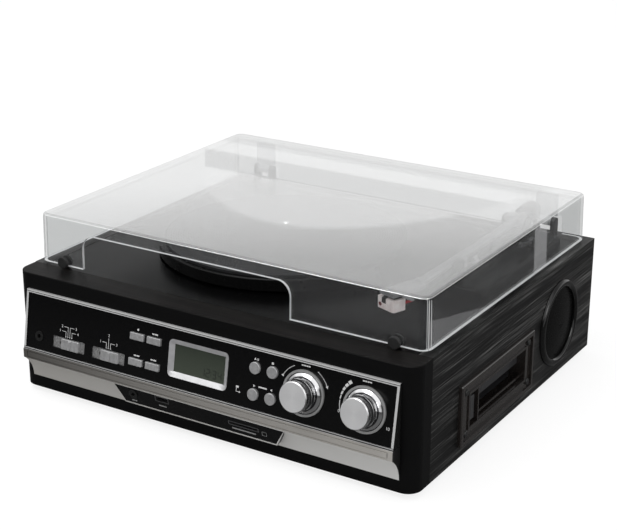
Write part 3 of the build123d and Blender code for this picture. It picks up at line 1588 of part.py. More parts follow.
# Tape chassis behind it: a box open to the slot, its flange, guides for the tape, and two reel pins
chassis_length = slot_length + 2 * tape_wall
chassis_height = tape_slot_height + 2 * tape_wall
guide_width = (slot_length - tape_width) / 2
reel_floor = -tape_slot_height / 2
tape_mid_depth = tape_depth - tape_divider - tape_length / 2
reel_depths = (tape_mid_depth - reel_spacing / 2, tape_mid_depth + reel_spacing / 2)
with BuildPart() as tape_chassis:
    with BuildSketch(tape_face.offset(-side_thickness)):
        Rectangle(tape_flange_length, tape_flange_height)
        with Locations((button_mid, 0)):
            Rectangle(2 * tape_button_bay, tape_button_height + 4 * tape_divider, mode=Mode.SUBTRACT)
        with GridLocations(2 * tape_screw_x, 2 * tape_screw_y, 2, 2):
            Circle(screw_shank_radius + fit_clearance, mode=Mode.SUBTRACT)
    extrude(amount=-tape_wall)
    with BuildSketch(tape_face.offset(-side_thickness)):
        with Locations((slot_mid, 0)):
            Rectangle(chassis_length, chassis_height)
    extrude(amount=-(tape_depth + tape_wall))
    with BuildSketch(tape_face.offset(-side_thickness)):
        with Locations((slot_mid, 0)):
            Rectangle(slot_length, tape_slot_height)
    extrude(amount=-tape_depth, mode=Mode.SUBTRACT)
    with BuildSketch(tape_face.offset(-side_thickness - tape_guide_start)):
        for side in (-1, 1):
            with Locations((slot_mid + side * (slot_length - guide_width) / 2, 0)):
                Rectangle(guide_width, tape_slot_height)
    extrude(amount=-(tape_depth - tape_guide_start))
    for reel_in in reel_depths:
        with BuildSketch(Plane.XY.offset(tape_z + reel_floor)):
            with Locations((half_width - side_thickness - reel_in, tape_y + slot_mid)):
                Circle(reel_pin)
        extrude(amount=reel_height)
finish(tape_chassis, "tape_chassis")

for reel_in, reel_name in zip(reel_depths, ("reel_hub_right", "reel_hub_left")):
    with BuildPart() as reel_hub:
        with BuildSketch(Plane.XY.offset(tape_z + reel_floor + slider_bed_gap)):
            with Locations((half_width - side_thickness - reel_in, tape_y + slot_mid)):
                Circle(reel_radius)
                with PolarLocations(reel_radius, 3):
                    Rectangle(2 * reel_pin, reel_pin)
                Circle(reel_pin + shaft_clearance, mode=Mode.SUBTRACT)
        extrude(amount=reel_height - 2 * slider_bed_gap)
    finish(reel_hub, reel_name)


# Loudspeakers: gloss ring, domed grille and the driver behind the wood, on both sides
def speaker_place(side):
    return spot(side_plane(side * half_width, side), side * speaker_y, speaker_z)


with BuildPart() as speaker_rings:
    for side in (-1, 1):
        place = speaker_place(side)
        with BuildSketch(lathe(place)):
            with BuildLine():
                Polyline(
                    (speaker_ring_inner, side_proud - ring_inner_drop),
                    (speaker_ring_inner, -side_thickness),
                    (speaker_hole_radius - trim_gap, -side_thickness),
                    (speaker_hole_radius - trim_gap, 0),
                    (speaker_ring_radius, 0),
                )
                ThreePointArc(
                    (speaker_ring_radius, 0),
                    ((speaker_ring_radius + speaker_ring_inner) / 2 + ring_crown_shift, side_proud),
                    (speaker_ring_inner, side_proud - ring_inner_drop),
                )
            make_face()
        revolve(axis=spin_axis(place))
finish(speaker_rings, "speaker_rings")

grille_radius = speaker_ring_inner - grille_gap
grille_crown = side_proud - 2 * grille_gap
grille_ball = (grille_radius**2 + grille_rise**2) / (2 * grille_rise)
grille_mid_drop = grille_ball - sqrt(grille_ball**2 - (grille_radius / 2) ** 2)
with BuildPart() as speaker_grilles:
    for side in (-1, 1):
        place = speaker_place(side)
        with BuildSketch(lathe(place)):
            with BuildLine():
                ThreePointArc(
                    (0, grille_crown),
                    (grille_radius / 2, grille_crown - grille_mid_drop),
                    (grille_radius, grille_crown - grille_rise),
                )
                Polyline(
                    (grille_radius, grille_crown - grille_rise),
                    (grille_radius, grille_crown - grille_rise - grille_thickness),
                )
                ThreePointArc(
                    (grille_radius, grille_crown - grille_rise - grille_thickness),
                    (grille_radius / 2, grille_crown - grille_mid_drop - grille_thickness),
                    (0, grille_crown - grille_thickness),
                )
                Line((0, grille_crown - grille_thickness), (0, grille_crown))
            make_face()
        revolve(axis=spin_axis(place))
finish(speaker_grilles, "speaker_grilles")

cone_top = -side_thickness
cone_foot = cone_top - speaker_cone_depth
with BuildPart() as speaker_drivers:
    for side in (-1, 1):
        place = speaker_place(side)
        with BuildSketch(lathe(place)):
            Polygon(
                (speaker_frame_radius, cone_top),
                (speaker_cone_radius, cone_top),
                (speaker_magnet_radius / 2, cone_foot + speaker_frame_thickness),
                (0, cone_foot + speaker_frame_thickness),
                (0, cone_foot - speaker_magnet_height),
                (speaker_magnet_radius, cone_foot - speaker_magnet_height),
                (speaker_magnet_radius, cone_foot),
                (speaker_neck_radius, cone_foot),
                (speaker_cone_radius, cone_top - speaker_frame_thickness),
                (speaker_frame_radius, cone_top - speaker_frame_thickness),
                align=None,
            )
        revolve(axis=spin_axis(place))
finish(speaker_drivers, "speaker_drivers")


# Rear sockets: a plate with two line-out jacks, and the round power inlet
back_face = front_plane(case_back_y)
with BuildPart() as rear_sockets:
    with BuildSketch(back_face):
        with Locations((jack_plate_x, jack_z)):
            Rectangle(jack_plate_width, jack_plate_height)
        with Locations((inlet_x, inlet_height)):
            Circle(inlet_radius + inlet_collar)
    extrude(amount=-jack_plate_thickness)
    with BuildSketch(back_face):
        with Locations((jack_plate_x, jack_z)):
            with GridLocations(line_jack_spacing, 1, 2, 1):
                Circle(line_jack_radius)
    extrude(amount=-(jack_plate_thickness + line_jack_length))
    with BuildSketch(back_face):
        with Locations((jack_plate_x, jack_z)):
            with GridLocations(line_jack_spacing, 1, 2, 1):
                Circle(line_jack_radius)
        with Locations((inlet_x, inlet_height)):
            Circle(inlet_radius)
    extrude(amount=back_thickness + jack_inside)
    with BuildSketch(front_plane(case_back_y + jack_plate_thickness + line_jack_length)):
        with Locations((jack_plate_x, jack_z)):
            with GridLocations(line_jack_spacing, 1, 2, 1):
                Circle(line_jack_bore)
    extrude(amount=line_jack_length, mode=Mode.SUBTRACT)
    with BuildSketch(front_plane(case_back_y + jack_plate_thickness)):
        with Locations((inlet_x, inlet_height)):
            Circle(inlet_bore)
            Circle(inlet_pin, mode=Mode.SUBTRACT)
    extrude(amount=inlet_depth - inlet_collar, mode=Mode.SUBTRACT)
finish(rear_sockets, "rear_sockets")
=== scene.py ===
import bpy
from math import atan2, cos, pi, radians, sin
from mathutils import Matrix, Vector


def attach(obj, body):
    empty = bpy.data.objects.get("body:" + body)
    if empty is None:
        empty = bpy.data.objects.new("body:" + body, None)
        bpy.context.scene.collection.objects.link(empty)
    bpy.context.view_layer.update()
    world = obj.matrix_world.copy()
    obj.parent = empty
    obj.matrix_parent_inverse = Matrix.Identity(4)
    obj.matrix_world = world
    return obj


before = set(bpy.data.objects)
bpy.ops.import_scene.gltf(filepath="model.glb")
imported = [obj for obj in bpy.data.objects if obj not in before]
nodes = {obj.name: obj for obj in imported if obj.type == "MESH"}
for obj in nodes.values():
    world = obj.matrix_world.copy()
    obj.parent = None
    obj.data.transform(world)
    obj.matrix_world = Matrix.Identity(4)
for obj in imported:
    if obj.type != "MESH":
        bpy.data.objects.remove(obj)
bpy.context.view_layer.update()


# Wood sides.
# Two panels of chipboard under a black ash foil, whose open grain runs from front to back and
# wraps over the top edge. They are glued to the base board and the front moulding.
def tinted(colour):
    """A colour as the shaders take it. One number alone is a grey."""
    red_green_blue = colour if isinstance(colour, tuple) else (colour,) * 3
    return (*red_green_blue, 1.0)


class Reading:
    """One socket of a finish. Maths written on it becomes the finish's own maths."""

    def __init__(self, owner, socket):
        self.owner = owner
        self.socket = socket

    def maths(self, operation, *others):
        return self.owner.node("ShaderNodeMath", {"operation": operation}, self, *others)

    def __add__(self, other):
        return self.maths("ADD", other)

    def __radd__(self, other):
        return self.maths("ADD", other)

    def __sub__(self, other):
        return self.maths("SUBTRACT", other)

    def __rsub__(self, other):
        return self.owner.node("ShaderNodeMath", {"operation": "SUBTRACT"}, other, self)

    def __mul__(self, other):
        return self.maths("MULTIPLY", other)

    def __rmul__(self, other):
        return self.maths("MULTIPLY", other)

    def __truediv__(self, other):
        return self.maths("DIVIDE", other)

    def __pow__(self, other):
        return self.maths("POWER", other)

    def __abs__(self):
        return self.maths("ABSOLUTE")

    def __gt__(self, other):
        return self.maths("GREATER_THAN", other)

    def __lt__(self, other):
        return self.maths("LESS_THAN", other)

    def between(self, low, high):
        """1 between the two values and 0 outside them."""
        return (self > low) * (self < high)

    def held(self):
        """The reading, kept from 0 to 1."""
        return self.maths("MINIMUM", 1.0).maths("MAXIMUM", 0.0)

    def rise(self, low, high):
        """0 below low, 1 above high, and even between them."""
        return ((self - low) / (high - low)).held()

    def ripple(self, pitch):
        """A wave from -1 to 1 that comes back after each pitch."""
        return (self * (2 * pi / pitch)).maths("SINE")

    def part(self, name):
        """Another output of the node that this one comes from."""
        return Reading(self.owner, self.socket.node.outputs[name])


class NodeTree:
    """Shader nodes, which are added and linked as they are written down."""

    def __init__(self, tree):
        self.tree = tree

    def node(self, kind, settings, *values, **named):
        """A node of that kind, set up, with the values or readings of its sockets."""
        made = self.tree.nodes.new(kind)
        for key, value in settings.items():
            if key == "stops":
                for index, (place, colour) in enumerate(value):
                    stops = made.color_ramp.elements
                    stop = stops[index] if index < 2 else stops.new(place)
                    stop.position = place
                    stop.color = tinted(colour)
            else:
                setattr(made, key, value)
        sockets = list(zip(made.inputs, values))
        sockets += [(made.inputs[key.replace("_", " ")], value) for key, value in named.items()]
        for socket, value in sockets:
            self.fill(socket, value)
        return Reading(self, made.outputs[0])

    def fill(self, socket, value):
        """Sets a socket to a value, or links a reading to it."""
        if isinstance(value, Reading):
            self.tree.links.new(value.socket, socket)
        else:
            socket.default_value = value


class Finish(NodeTree):
    """A material of an object, made of nodes that feed one glossy shader."""

    def __init__(self, name, **shader):
        self.material = bpy.data.materials.new(name)
        self.material.use_nodes = True
        super().__init__(self.material.node_tree)
        self.shader = self.tree.nodes["Principled BSDF"]
        for socket, value in shader.items():
            self.give(socket.replace("_", " "), value)

    def give(self, socket, value):
        """Gives a socket of the glossy shader a value or a reading."""
        self.fill(self.shader.inputs[socket], value)

    def surface(self, reading):
        """Shows another shader than the glossy one, or a mix of the two."""
        self.fill(self.tree.nodes["Material Output"].inputs["Surface"], reading)

    def mix(self, share, first, second):
        """The first colour where the share is 0, and the second where it is 1."""
        share_socket, first_socket, second_socket, colour_output = 0, 6, 7, 2
        mixed = self.node("ShaderNodeMix", {"data_type": "RGBA"}).socket.node
        self.fill(mixed.inputs[share_socket], share)
        for index, colour in ((first_socket, first), (second_socket, second)):
            self.fill(mixed.inputs[index], colour if isinstance(colour, Reading) else tinted(colour))
        return Reading(self, mixed.outputs[colour_output])

    def spot(self):
        """The place on the object, in metres."""
        return self.node("ShaderNodeTexCoord", {}).part("Object")

    def axes(self):
        """The three numbers of that place."""
        split = self.node("ShaderNodeSeparateXYZ", {}, self.spot())
        return split.part("X"), split.part("Y"), split.part("Z")

    def facing(self):
        """The three numbers of the direction that the surface faces."""
        normal = self.node("ShaderNodeNewGeometry", {}).part("Normal")
        turned = {"vector_type": "NORMAL", "convert_from": "WORLD", "convert_to": "OBJECT"}
        on_object = self.node("ShaderNodeVectorTransform", turned, normal)
        split = self.node("ShaderNodeSeparateXYZ", {}, on_object)
        return split.part("X"), split.part("Y"), split.part("Z")

    def away(self, centre):
        """The way from a centre to the place on the object."""
        return self.node("ShaderNodeVectorMath", {"operation": "SUBTRACT"}, self.spot(), tuple(centre))

    def reach(self, way, direction):
        """How far that way goes in one direction."""
        product = {"operation": "DOT_PRODUCT"}
        return self.node("ShaderNodeVectorMath", product, way, tuple(direction)).part("Value")

    def noise(self, repeats, detail=3.0, distortion=0.0, shift=(0.0, 0.0, 0.0)):
        """Noise that repeats about so often per metre, along all three axes or each."""
        stretch = repeats if isinstance(repeats, tuple) else (repeats,) * 3
        moved = self.node("ShaderNodeMapping", {}, self.spot(), Scale=stretch, Location=shift)
        return self.node("ShaderNodeTexNoise", {}, moved, Scale=1.0, Detail=detail, Distortion=distortion)

    def ramp(self, value, *stops):
        """A colour that follows the value through the stops."""
        return self.node("ShaderNodeValToRGB", {"stops": stops}, value)

    def bump(self, height, strength, depth):
        """Gives the surface a relief of that height, which is from 0 to 1, times the depth."""
        relief = self.node("ShaderNodeBump", {}, Height=height, Strength=strength, Distance=depth)
        self.give("Normal", relief)

    def put_on(self, *names):
        """Puts the finish on CAD nodes, or on pieces made here."""
        for name in names:
            piece = nodes[name] if isinstance(name, str) else name
            piece.data.materials.clear()
            piece.data.materials.append(self.material)


ash = Finish("black_ash_foil", Specular_IOR_Level=0.2)
ash_fibre = ash.noise((90.0, 16.0, 900.0), detail=5.0, distortion=0.1)
ash_band = ash.noise((30.0, 3.5, 110.0), distortion=0.3, shift=(0.0, 4.0, 0.0))
ash_streak = ash_fibre * (ash_band * 1.1 + 0.4)
ash_pore = (0.32, 0.0035)
ash_wood = (0.47, 0.01)
ash_pale = (0.57, (0.042, 0.0417, 0.041))
ash_ridge = (0.68, (0.1, 0.099, 0.097))
ash.give("Base Color", ash.ramp(ash_streak, ash_pore, ash_wood, ash_pale, ash_ridge))
ash.give("Roughness", 0.5 - ash_fibre * 0.2)
ash.bump(ash_streak, 0.5, 0.0004)
ash.put_on("side_panel_left", "side_panel_right")


# Base, back and feet.
# A black board closes the bottom, a thinner one with vent slots closes the back, and four rubber
# feet are glued under the base.
def grained(name, repeats, dark, light, rough, swing=0.0, detail=3.0, stops=(0.3, 0.8), **shader):
    """A finish whose colour goes from dark to light with a fine grain, as its roughness may."""
    finish = Finish(name, **shader)
    finish.grain = finish.noise(repeats, detail)
    finish.give("Base Color", finish.ramp(finish.grain, (stops[0], dark), (stops[1], light)))
    finish.give("Roughness", rough + finish.grain * swing if swing else rough)
    return finish


board_light = (0.022, 0.021, 0.02)
board = grained(
    "black_board", 900.0, 0.008, board_light, 0.6, detail=4.0, stops=(0.35, 0.7), Specular_IOR_Level=0.3
)
board.bump(board.grain, 0.35, 0.0002)
board.put_on("base_board", "back_panel")

rubber = grained("soft_rubber", 1500.0, 0.008, 0.02, 0.5, 0.3, stops=(0.3, 0.75))
rubber.bump(rubber.grain, 0.3, 0.0001)
rubber.put_on("rubber_feet", "cover_bumpers", "drive_belt")


# Front moulding.
# A black shell with rounded corners. Its top strip carries a dark foil with fine streaks across,
# and its face is plain satin plastic with a slight unevenness.
shell = Finish("front_shell", Specular_IOR_Level=0.08)
shell_up = shell.facing()[2] > 0.6
shell_streak = shell.noise((16.0, 520.0, 40.0), detail=4.0, distortion=0.3)
shell_foil = shell.ramp(shell_streak, (0.4, (0.0035, 0.0032, 0.0032)), (0.7, (0.013, 0.0115, 0.011)))
shell.give("Base Color", shell.mix(shell_up, (0.0042, 0.0042, 0.0044), shell_foil))
shell_wave = shell.noise(70.0, detail=2.0)
shell.give("Roughness", 0.3 + shell_up * 0.1 + shell_wave * 0.1)
shell.bump(shell.noise(2500.0), 0.1, 0.0001)
shell.put_on("front_moulding")


# Silver frame.
# Moulded plastic with a metal coating: bright on the thin rim round the panel, brushed and warm on
# the ledge, and pale satin in the two coves beside the socket plate. Light and shade are painted
# into it: the ledge and coves get lighter from left to right, the side faces carry painted shade,
# and two thin painted dark reflection lines cross the rim.
panel_tilt = atan2(8.0, 46.0)
panel_middle = (0.0, -0.1628525, 0.068)
panel_spot = Matrix.Translation(panel_middle) @ Matrix.Rotation(pi / 2 - panel_tilt, 4, "X")
panel_up = panel_spot.to_3x3() @ Vector((0.0, 1.0, 0.0))
panel_front = panel_spot.to_3x3() @ Vector((0.0, 0.0, 1.0))
rim_foot = 0.0432
cove_top = 0.0353
groove_inside = 0.0241
groove_outside = 0.0247
rim_dark_line_heights = ((0.0436, 0.0441), (0.045, 0.0455))
frame_front = -0.1745
flank_depth = 0.008

silver = Finish("silver_frame", Metallic=0.35)
silver_x, silver_y, silver_height = silver.axes()
# Painted light: the ledge and coves are painted shaded at the left and lit at the right.
silver_lit_rightward = (silver_x * 2.8 + 0.5).held()
silver_rim = silver_height > rim_foot
silver_brush = silver.noise((25.0, 1800.0, 1800.0), detail=2.0)
silver_ledge_shaded = silver.mix(silver_brush, (0.065, 0.062, 0.057), (0.11, 0.104, 0.095))
silver_ledge_lit = silver.mix(silver_brush, (0.44, 0.42, 0.39), (0.56, 0.54, 0.51))
silver_ledge = silver.mix(silver_lit_rightward, silver_ledge_shaded, silver_ledge_lit)
silver_bowl = silver.mix(silver_lit_rightward, (0.47, 0.455, 0.43), (0.74, 0.735, 0.72))
silver_low = silver.mix(silver_height < cove_top, silver_ledge, silver_bowl)
silver_up = abs(silver.reach(silver.away(panel_middle), panel_up))
# Painted reflection: two thin dark lines at fixed heights on the bright rim. The groove line beside the panel
# is a dark joint.
silver_rim_dark_lines = [silver_height.between(low, high) for low, high in rim_dark_line_heights]
silver_groove_and_dark_lines = silver_up.between(groove_inside, groove_outside) + silver_rim_dark_lines[0] + silver_rim_dark_lines[1]
silver_bright = silver.mix(silver_groove_and_dark_lines.maths("MINIMUM", 1.0), 0.7, 0.07)
silver_front = silver.mix(silver_rim, silver_low, silver_bright)
# Painted shade: the side faces of the frame are painted dark, darkest towards the back.
silver_side = abs(silver.facing()[0]) > 0.6
silver_flank_shade = silver.mix(silver_y.rise(frame_front, frame_front + flank_depth), 0.15, 0.015)
silver.give("Base Color", silver.mix(silver_side, silver_front, silver_flank_shade))
silver.give("Roughness", 0.36 - silver_rim * 0.2 + silver_brush * 0.08)
silver.bump(silver_brush, 0.12, 0.0001)
silver.put_on("trim_frame")


# Control panel.
# A black plastic plate with a deep gloss, tilted back in the silver frame. White marks are printed
# on it: bars and arrows round the dials, numbered lines at the switches and signs at the buttons.
gloss_dark = (0.0018, 0.0018, 0.002)
gloss_light = (0.0032, 0.0032, 0.0034)
gloss_wipes = (260.0, 260.0, 900.0)
gloss = grained("gloss_black", gloss_wipes, gloss_dark, gloss_light, 0.1, 0.1, 4.0, Specular_IOR_Level=0.3)
gloss.put_on("control_panel", "port_plate")


def pull_up(thickness):
    """Puts the place of the flat active piece into its mesh, and pulls it to its thickness."""
    bpy.ops.object.transform_apply(location=True, rotation=True, scale=True)
    bpy.ops.object.mode_set(mode="EDIT")
    bpy.ops.mesh.select_all(action="SELECT")
    bpy.ops.mesh.extrude_region_move(TRANSFORM_OT_translate={"value": (0.0, 0.0, thickness)})
    bpy.ops.mesh.select_all(action="SELECT")
    bpy.ops.mesh.normals_make_consistent(inside=False)
    bpy.ops.object.mode_set(mode="OBJECT")
    return bpy.context.object


def slab(x, up, width, height, thickness=0.00006, turn=0.0):
    """A thin flat bar on its own face, in metres."""
    bpy.ops.object.select_all(action="DESELECT")
    bpy.ops.mesh.primitive_plane_add(size=1.0, location=(x, up, 0.0), rotation=(0.0, 0.0, turn))
    bpy.context.object.scale = (width, height, 1.0)
    return pull_up(thickness)


def disc(x, up, radius, corners=24, thickness=0.00006, turn=0.0):
    """A thin flat disc, or with three corners an arrow head."""
    bpy.ops.object.select_all(action="DESELECT")
    bpy.ops.mesh.primitive_circle_add(
        vertices=corners, radius=radius, fill_type="NGON", location=(x, up, 0.0), rotation=(0.0, 0.0, turn)
    )
    return pull_up(thickness)


def number(text, x, up, height, thickness=0.00003):
    """A printed number, as a mesh."""
    bpy.ops.object.select_all(action="DESELECT")
    bpy.ops.object.text_add(location=(x, up, 0.0))
    piece = bpy.context.object
    piece.data.body = text
    piece.data.size = height
    piece.data.extrude = thickness
    piece.data.align_x = "CENTER"
    piece.data.align_y = "CENTER"
    bpy.ops.object.convert(target="MESH")
    bpy.ops.object.transform_apply(location=True, rotation=True, scale=True)
    return bpy.context.object


def arc_bars(x, radius, start, end, count, width, low, high=None):
    """Bars along an arc, drawn end to end, whose height grows from low to high."""
    high = low if high is None else high
    made = []
    for index in range(count):
        share = index / max(count - 1, 1)
        angle = radians(start + (end - start) * (index + 0.5) / count)
        tall = low + (high - low) * share
        reach = radius + tall / 2
        made.append(slab(x + reach * cos(angle), reach * sin(angle), width, tall, turn=angle - pi / 2))
    return made


def raised(place, height):
    """The same place, moved off its face."""
    return place @ Matrix.Translation((0.0, 0.0, height))


def print_on(marks, name, place, body, finish):
    """Joins the marks into one piece, lays it on its face and lets it ride on the body."""
    bpy.ops.object.select_all(action="DESELECT")
    for mark in marks:
        mark.select_set(True)
    bpy.context.view_layer.objects.active = marks[0]
    bpy.ops.object.join()
    piece = bpy.context.object
    piece.name = name
    piece.data.transform(place)
    finish.put_on(piece)
    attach(piece, body)


ink = grained("white_print", 2200.0, 0.5, 0.72, 0.5, stops=(0.3, 0.7))
ink_height = 0.00002
tuning_x = 0.0968
volume_x = 0.1491
volume_arc = 0.0209
tuning_arc = 0.0213
head_arc = 0.0216
dial_label_up = 0.0211

# Round the dials: bars that grow along the volume dial, between two numbers, and two arrows that
# point along the tuning dial. Four short bars stand above each.
marks = arc_bars(volume_x, volume_arc, 205.0, 174.0, 9, 0.0015, 0.0004, 0.0007)
marks += arc_bars(volume_x, volume_arc, 172.0, 124.0, 5, 0.0029, 0.0009, 0.0026)
marks += [number("0", volume_x - 0.0213, -0.0062, 0.0034), number("10", volume_x + 0.0202, -0.0098, 0.0034)]
for start, end, head in ((118.0, 150.0, 153.0), (60.0, 28.0, 25.0)):
    marks += arc_bars(tuning_x, tuning_arc, start, end, 11, 0.0017, 0.0005)
    head_x = tuning_x + head_arc * cos(radians(head))
    head_up = head_arc * sin(radians(head))
    marks.append(disc(head_x, head_up, 0.0014, 3, turn=radians(head) + pi))
for centre in (tuning_x, volume_x):
    marks += [slab(centre + step, dial_label_up, 0.0016, 0.001) for step in (-0.003, -0.001, 0.001, 0.003)]

# At the two switches: an arrow and a line for each position, which lead to its number.
function_x = -0.1295
band_x = -0.0882
slot_up = -0.01275
legend_line = 0.00035
legend_size = 0.0032
legend_gather = 0.42
legend_foot = slot_up + 0.0063
legend_low = slot_up + 0.0105
legend_high = slot_up + 0.0145
for centre, offsets in ((function_x, (-0.0075, -0.0025, 0.0025, 0.0075)), (band_x, (-0.005, 0.0, 0.005))):
    for index, offset in enumerate(offsets):
        top = legend_low if abs(offset) > 0.004 else legend_high
        side = 1.0 if offset > 0 else -1.0
        foot = centre + offset * legend_gather
        marks.append(slab(foot, (legend_foot + top) / 2, legend_line, top - legend_foot))
        marks.append(disc(foot, legend_foot - 0.0001, 0.0008, 3, turn=pi / 6))
        if offset == 0.0:
            marks.append(number(str(index + 1), foot, top + 0.0022, legend_size))
        else:
            marks.append(slab(foot + side * 0.0021, top, 0.0042, legend_line))
            marks.append(number(str(index + 1), foot + side * 0.0062, top, legend_size))

# Over the flat keys: a dot for the first one, and two short bars for each of the others.
key_rows = (0.0096, -0.0114)
key_columns = (-0.0595, -0.0428)
key_clearance = 0.0052
bar_height = 0.0011
for row in key_rows:
    for x in key_columns:
        above = row + key_clearance
        if x == key_columns[0] and row == key_rows[0]:
            marks.append(disc(x, above + 0.0003, 0.0009))
        else:
            marks.append(slab(x - 0.0016, above, 0.0022, bar_height))
            marks.append(slab(x + 0.0014, above, 0.0028, bar_height))

# Over the round buttons: play and pause, stop, and a step down and up. A small sign stands at
# their left.
left_column = 0.0529
right_column = 0.0686
upper_signs = 0.0163
lower_signs = -0.0046
arrow_size = 0.0012
marks.append(disc(left_column - 0.0008, upper_signs, arrow_size, 3))
marks += [slab(left_column + step, upper_signs, 0.0004, 0.0019) for step in (0.0012, 0.002)]
marks.append(slab(right_column - 0.0008, upper_signs, 0.0017, 0.0017))
marks.append(disc(left_column, lower_signs, arrow_size, 3, turn=-pi / 2))
marks.append(disc(right_column, lower_signs, arrow_size, 3, turn=pi / 2))
marks.append(slab((left_column + right_column) / 2, lower_signs, 0.0075, bar_height))
marks += [slab(0.038, -0.0088, 0.0024, 0.0016), slab(0.0372, -0.0112, 0.0004, 0.0036)]
marks += [slab(0.0386, -0.0126, 0.0028, 0.0004), disc(0.0402, -0.0126, 0.001, 3)]
print_on(marks, "panel_print", raised(panel_spot, ink_height), "case", ink)


# Rings and switch beds.
# Satin rings lie round the two dials. The slide switches run over sunk beds whose silver paint has
# a fine mottle. They are pressed into the panel from the front and from behind.
mottle = Finish("mottled_silver", Metallic=0.75)
mottle_spots = mottle.noise(1300.0, detail=4.0)
mottle_bed = mottle.ramp(mottle_spots, (0.35, 0.22), (0.65, 0.62))
mottle.give("Base Color", mottle.mix(mottle.axes()[0] > 0.0, mottle_bed, 0.62))
mottle.give("Roughness", 0.34 + mottle_spots * 0.12)
mottle.bump(mottle_spots, 0.25, 0.0002)
mottle.put_on("panel_trims")


# Slide switches.
# Silver caps with rounded ends. Each has a raised grip across its middle and two fine ridges on
# either side of it, and clips through the slot in its bed.
satin_dark = (0.5, 0.5, 0.505)
satin_light = (0.62, 0.62, 0.625)
satin = grained("satin_silver", 400.0, satin_dark, satin_light, 0.3, 0.1, stops=(0.3, 0.75), Metallic=0.65)
satin.put_on("function_slider", "band_slider")
cap_rest = 0.0025
cap_proud = 0.0018
grip_sunk = 0.0001
grip_length = 0.0074


def grip_ridge(x, width, height):
    """A bar with rounded edges that stands on a switch cap."""
    bpy.ops.object.select_all(action="DESELECT")
    bpy.ops.mesh.primitive_cube_add(size=1.0, location=(x, slot_up, height / 2))
    piece = bpy.context.object
    piece.scale = (width, grip_length, height)
    bpy.ops.object.transform_apply(location=True, rotation=True, scale=True)
    bpy.ops.object.mode_set(mode="EDIT")
    bpy.ops.mesh.select_all(action="SELECT")
    bpy.ops.mesh.bevel(offset=min(width, height) * 0.35, segments=3)
    bpy.ops.object.mode_set(mode="OBJECT")
    return piece


for centre, slider in ((function_x, "function_slider"), (band_x, "band_slider")):
    middle = centre + cap_rest
    ridges = [grip_ridge(middle, 0.0022, 0.0013)]
    ridges += [grip_ridge(middle + step, 0.0005, 0.0004) for step in (-0.0056, -0.0044, 0.0044, 0.0056)]
    print_on(ridges, slider + "_grip", raised(panel_spot, cap_proud - grip_sunk), slider, satin)


# Push buttons.
# Four flat keys and four round buttons of satin silver plastic, each on a spring in its own hole.
key_dark = (0.4, 0.4, 0.405)
key_light = (0.54, 0.54, 0.545)
key_silver = grained("key_silver", 500.0, key_dark, key_light, 0.32, 0.1, 2.0, (0.3, 0.75), Metallic=0.55)
key_silver.put_on("key_record", "key_mode", "key_delete", "key_repeat")
key_silver.put_on("button_play", "button_stop", "button_folder_down", "button_folder_up")


# Dials.
# Each dial has a spun metal cap with fine turned rings, a dark glossy neck and a bright skirt that
# flares towards the panel. The cap face carries painted shade at its left and right sides, and the
# skirt two painted dark reflection bands. It is pushed onto the shaft of its control.
neck_foot = 0.0074
cap_foot = 0.01135
face_foot = 0.01585
skirt_dark_band_heights = ((0.0026, 0.0038), (0.0056, 0.0066))
turned_pitch = 0.00042


def dial_finish(name, centre_x):
    """The zones of a dial, by the height above the panel and the distance from the axis."""
    finish = Finish(name, Metallic=1.0)
    way = finish.away(panel_spot @ Vector((centre_x, 0.0, 0.0)))
    height = finish.reach(way, panel_front)
    right = finish.reach(way, (1.0, 0.0, 0.0))
    length = finish.node("ShaderNodeVectorMath", {"operation": "LENGTH"}, way).part("Value")
    radius = (length * length - height * height).maths("MAXIMUM", 0.0).maths("SQRT")
    cap = height > cap_foot
    face = height > face_foot
    neck = (height > neck_foot) * (1 - cap)
    rings = radius.ripple(turned_pitch) * 0.5 + 0.5
    # Painted light: the cap face is painted darker at its left and right sides than at its top and bottom.
    sector_shade = (right / (radius + 0.0003)) ** 2.0
    turned = finish.mix(rings, (0.54, 0.54, 0.55), 0.7)
    face_shaded = finish.mix(sector_shade * face * 0.4, turned, (0.5, 0.5, 0.51))
    # Painted reflection: two dark bands at fixed heights on the bright skirt.
    skirt_bands = [height.between(low, high) for low, high in skirt_dark_band_heights]
    skirt = finish.mix(skirt_bands[0] + skirt_bands[1], (0.7, 0.7, 0.71), (0.07, 0.07, 0.075))
    metal = finish.mix(cap, skirt, face_shaded)
    finish.give("Base Color", finish.mix(neck, metal, (0.03, 0.03, 0.032)))
    finish.give("Metallic", 1 - face * 0.65 - neck * 0.5)
    finish.give("Roughness", 0.11 + cap * 0.1 + face * 0.2 + rings * cap * 0.05)
    finish.bump(rings * face, 0.12, 0.00006)
    return finish


dial_finish("tuning_spun_metal", tuning_x).put_on("tuning_dial")
dial_finish("volume_spun_metal", volume_x).put_on("volume_dial")

steel_dark = (0.42, 0.42, 0.43)
steel_light = (0.6, 0.6, 0.61)
steel = grained("plain_steel", 900.0, steel_dark, steel_light, 0.24, 0.15, stops=(0.3, 0.75), Metallic=1.0)
steel.put_on("potentiometers", "data_sockets", "motor")


# Display.
# A grey-green window behind a bright bezel whose sides slope down to it, painted darker towards its
# top as painted shade. The digits are dark bars near the right end of the window.
chrome = grained("bright_bezel", 180.0, (0.5, 0.5, 0.51), (0.6, 0.6, 0.61), 0.33, 0.1, 2.0, Metallic=0.55)
chrome.put_on("display_bezel")

window = Finish("display_window", Specular_IOR_Level=0.4)
window_foot = 0.056
window_top = 0.08
window_grain = window.noise(1900.0, detail=2.0)
# Painted shade: the window gets darker from its foot to its top.
window_shade_rise = window.axes()[2].rise(window_foot, window_top)
window_shaded = window.mix(window_shade_rise, (0.055, 0.065, 0.05), (0.03, 0.037, 0.028))
window.give("Base Color", window.mix(window_grain * 0.2, window_shaded, (0.022, 0.027, 0.02)))
window.give("Roughness", 0.14 + window_grain * 0.06)
window.put_on("display_glass")

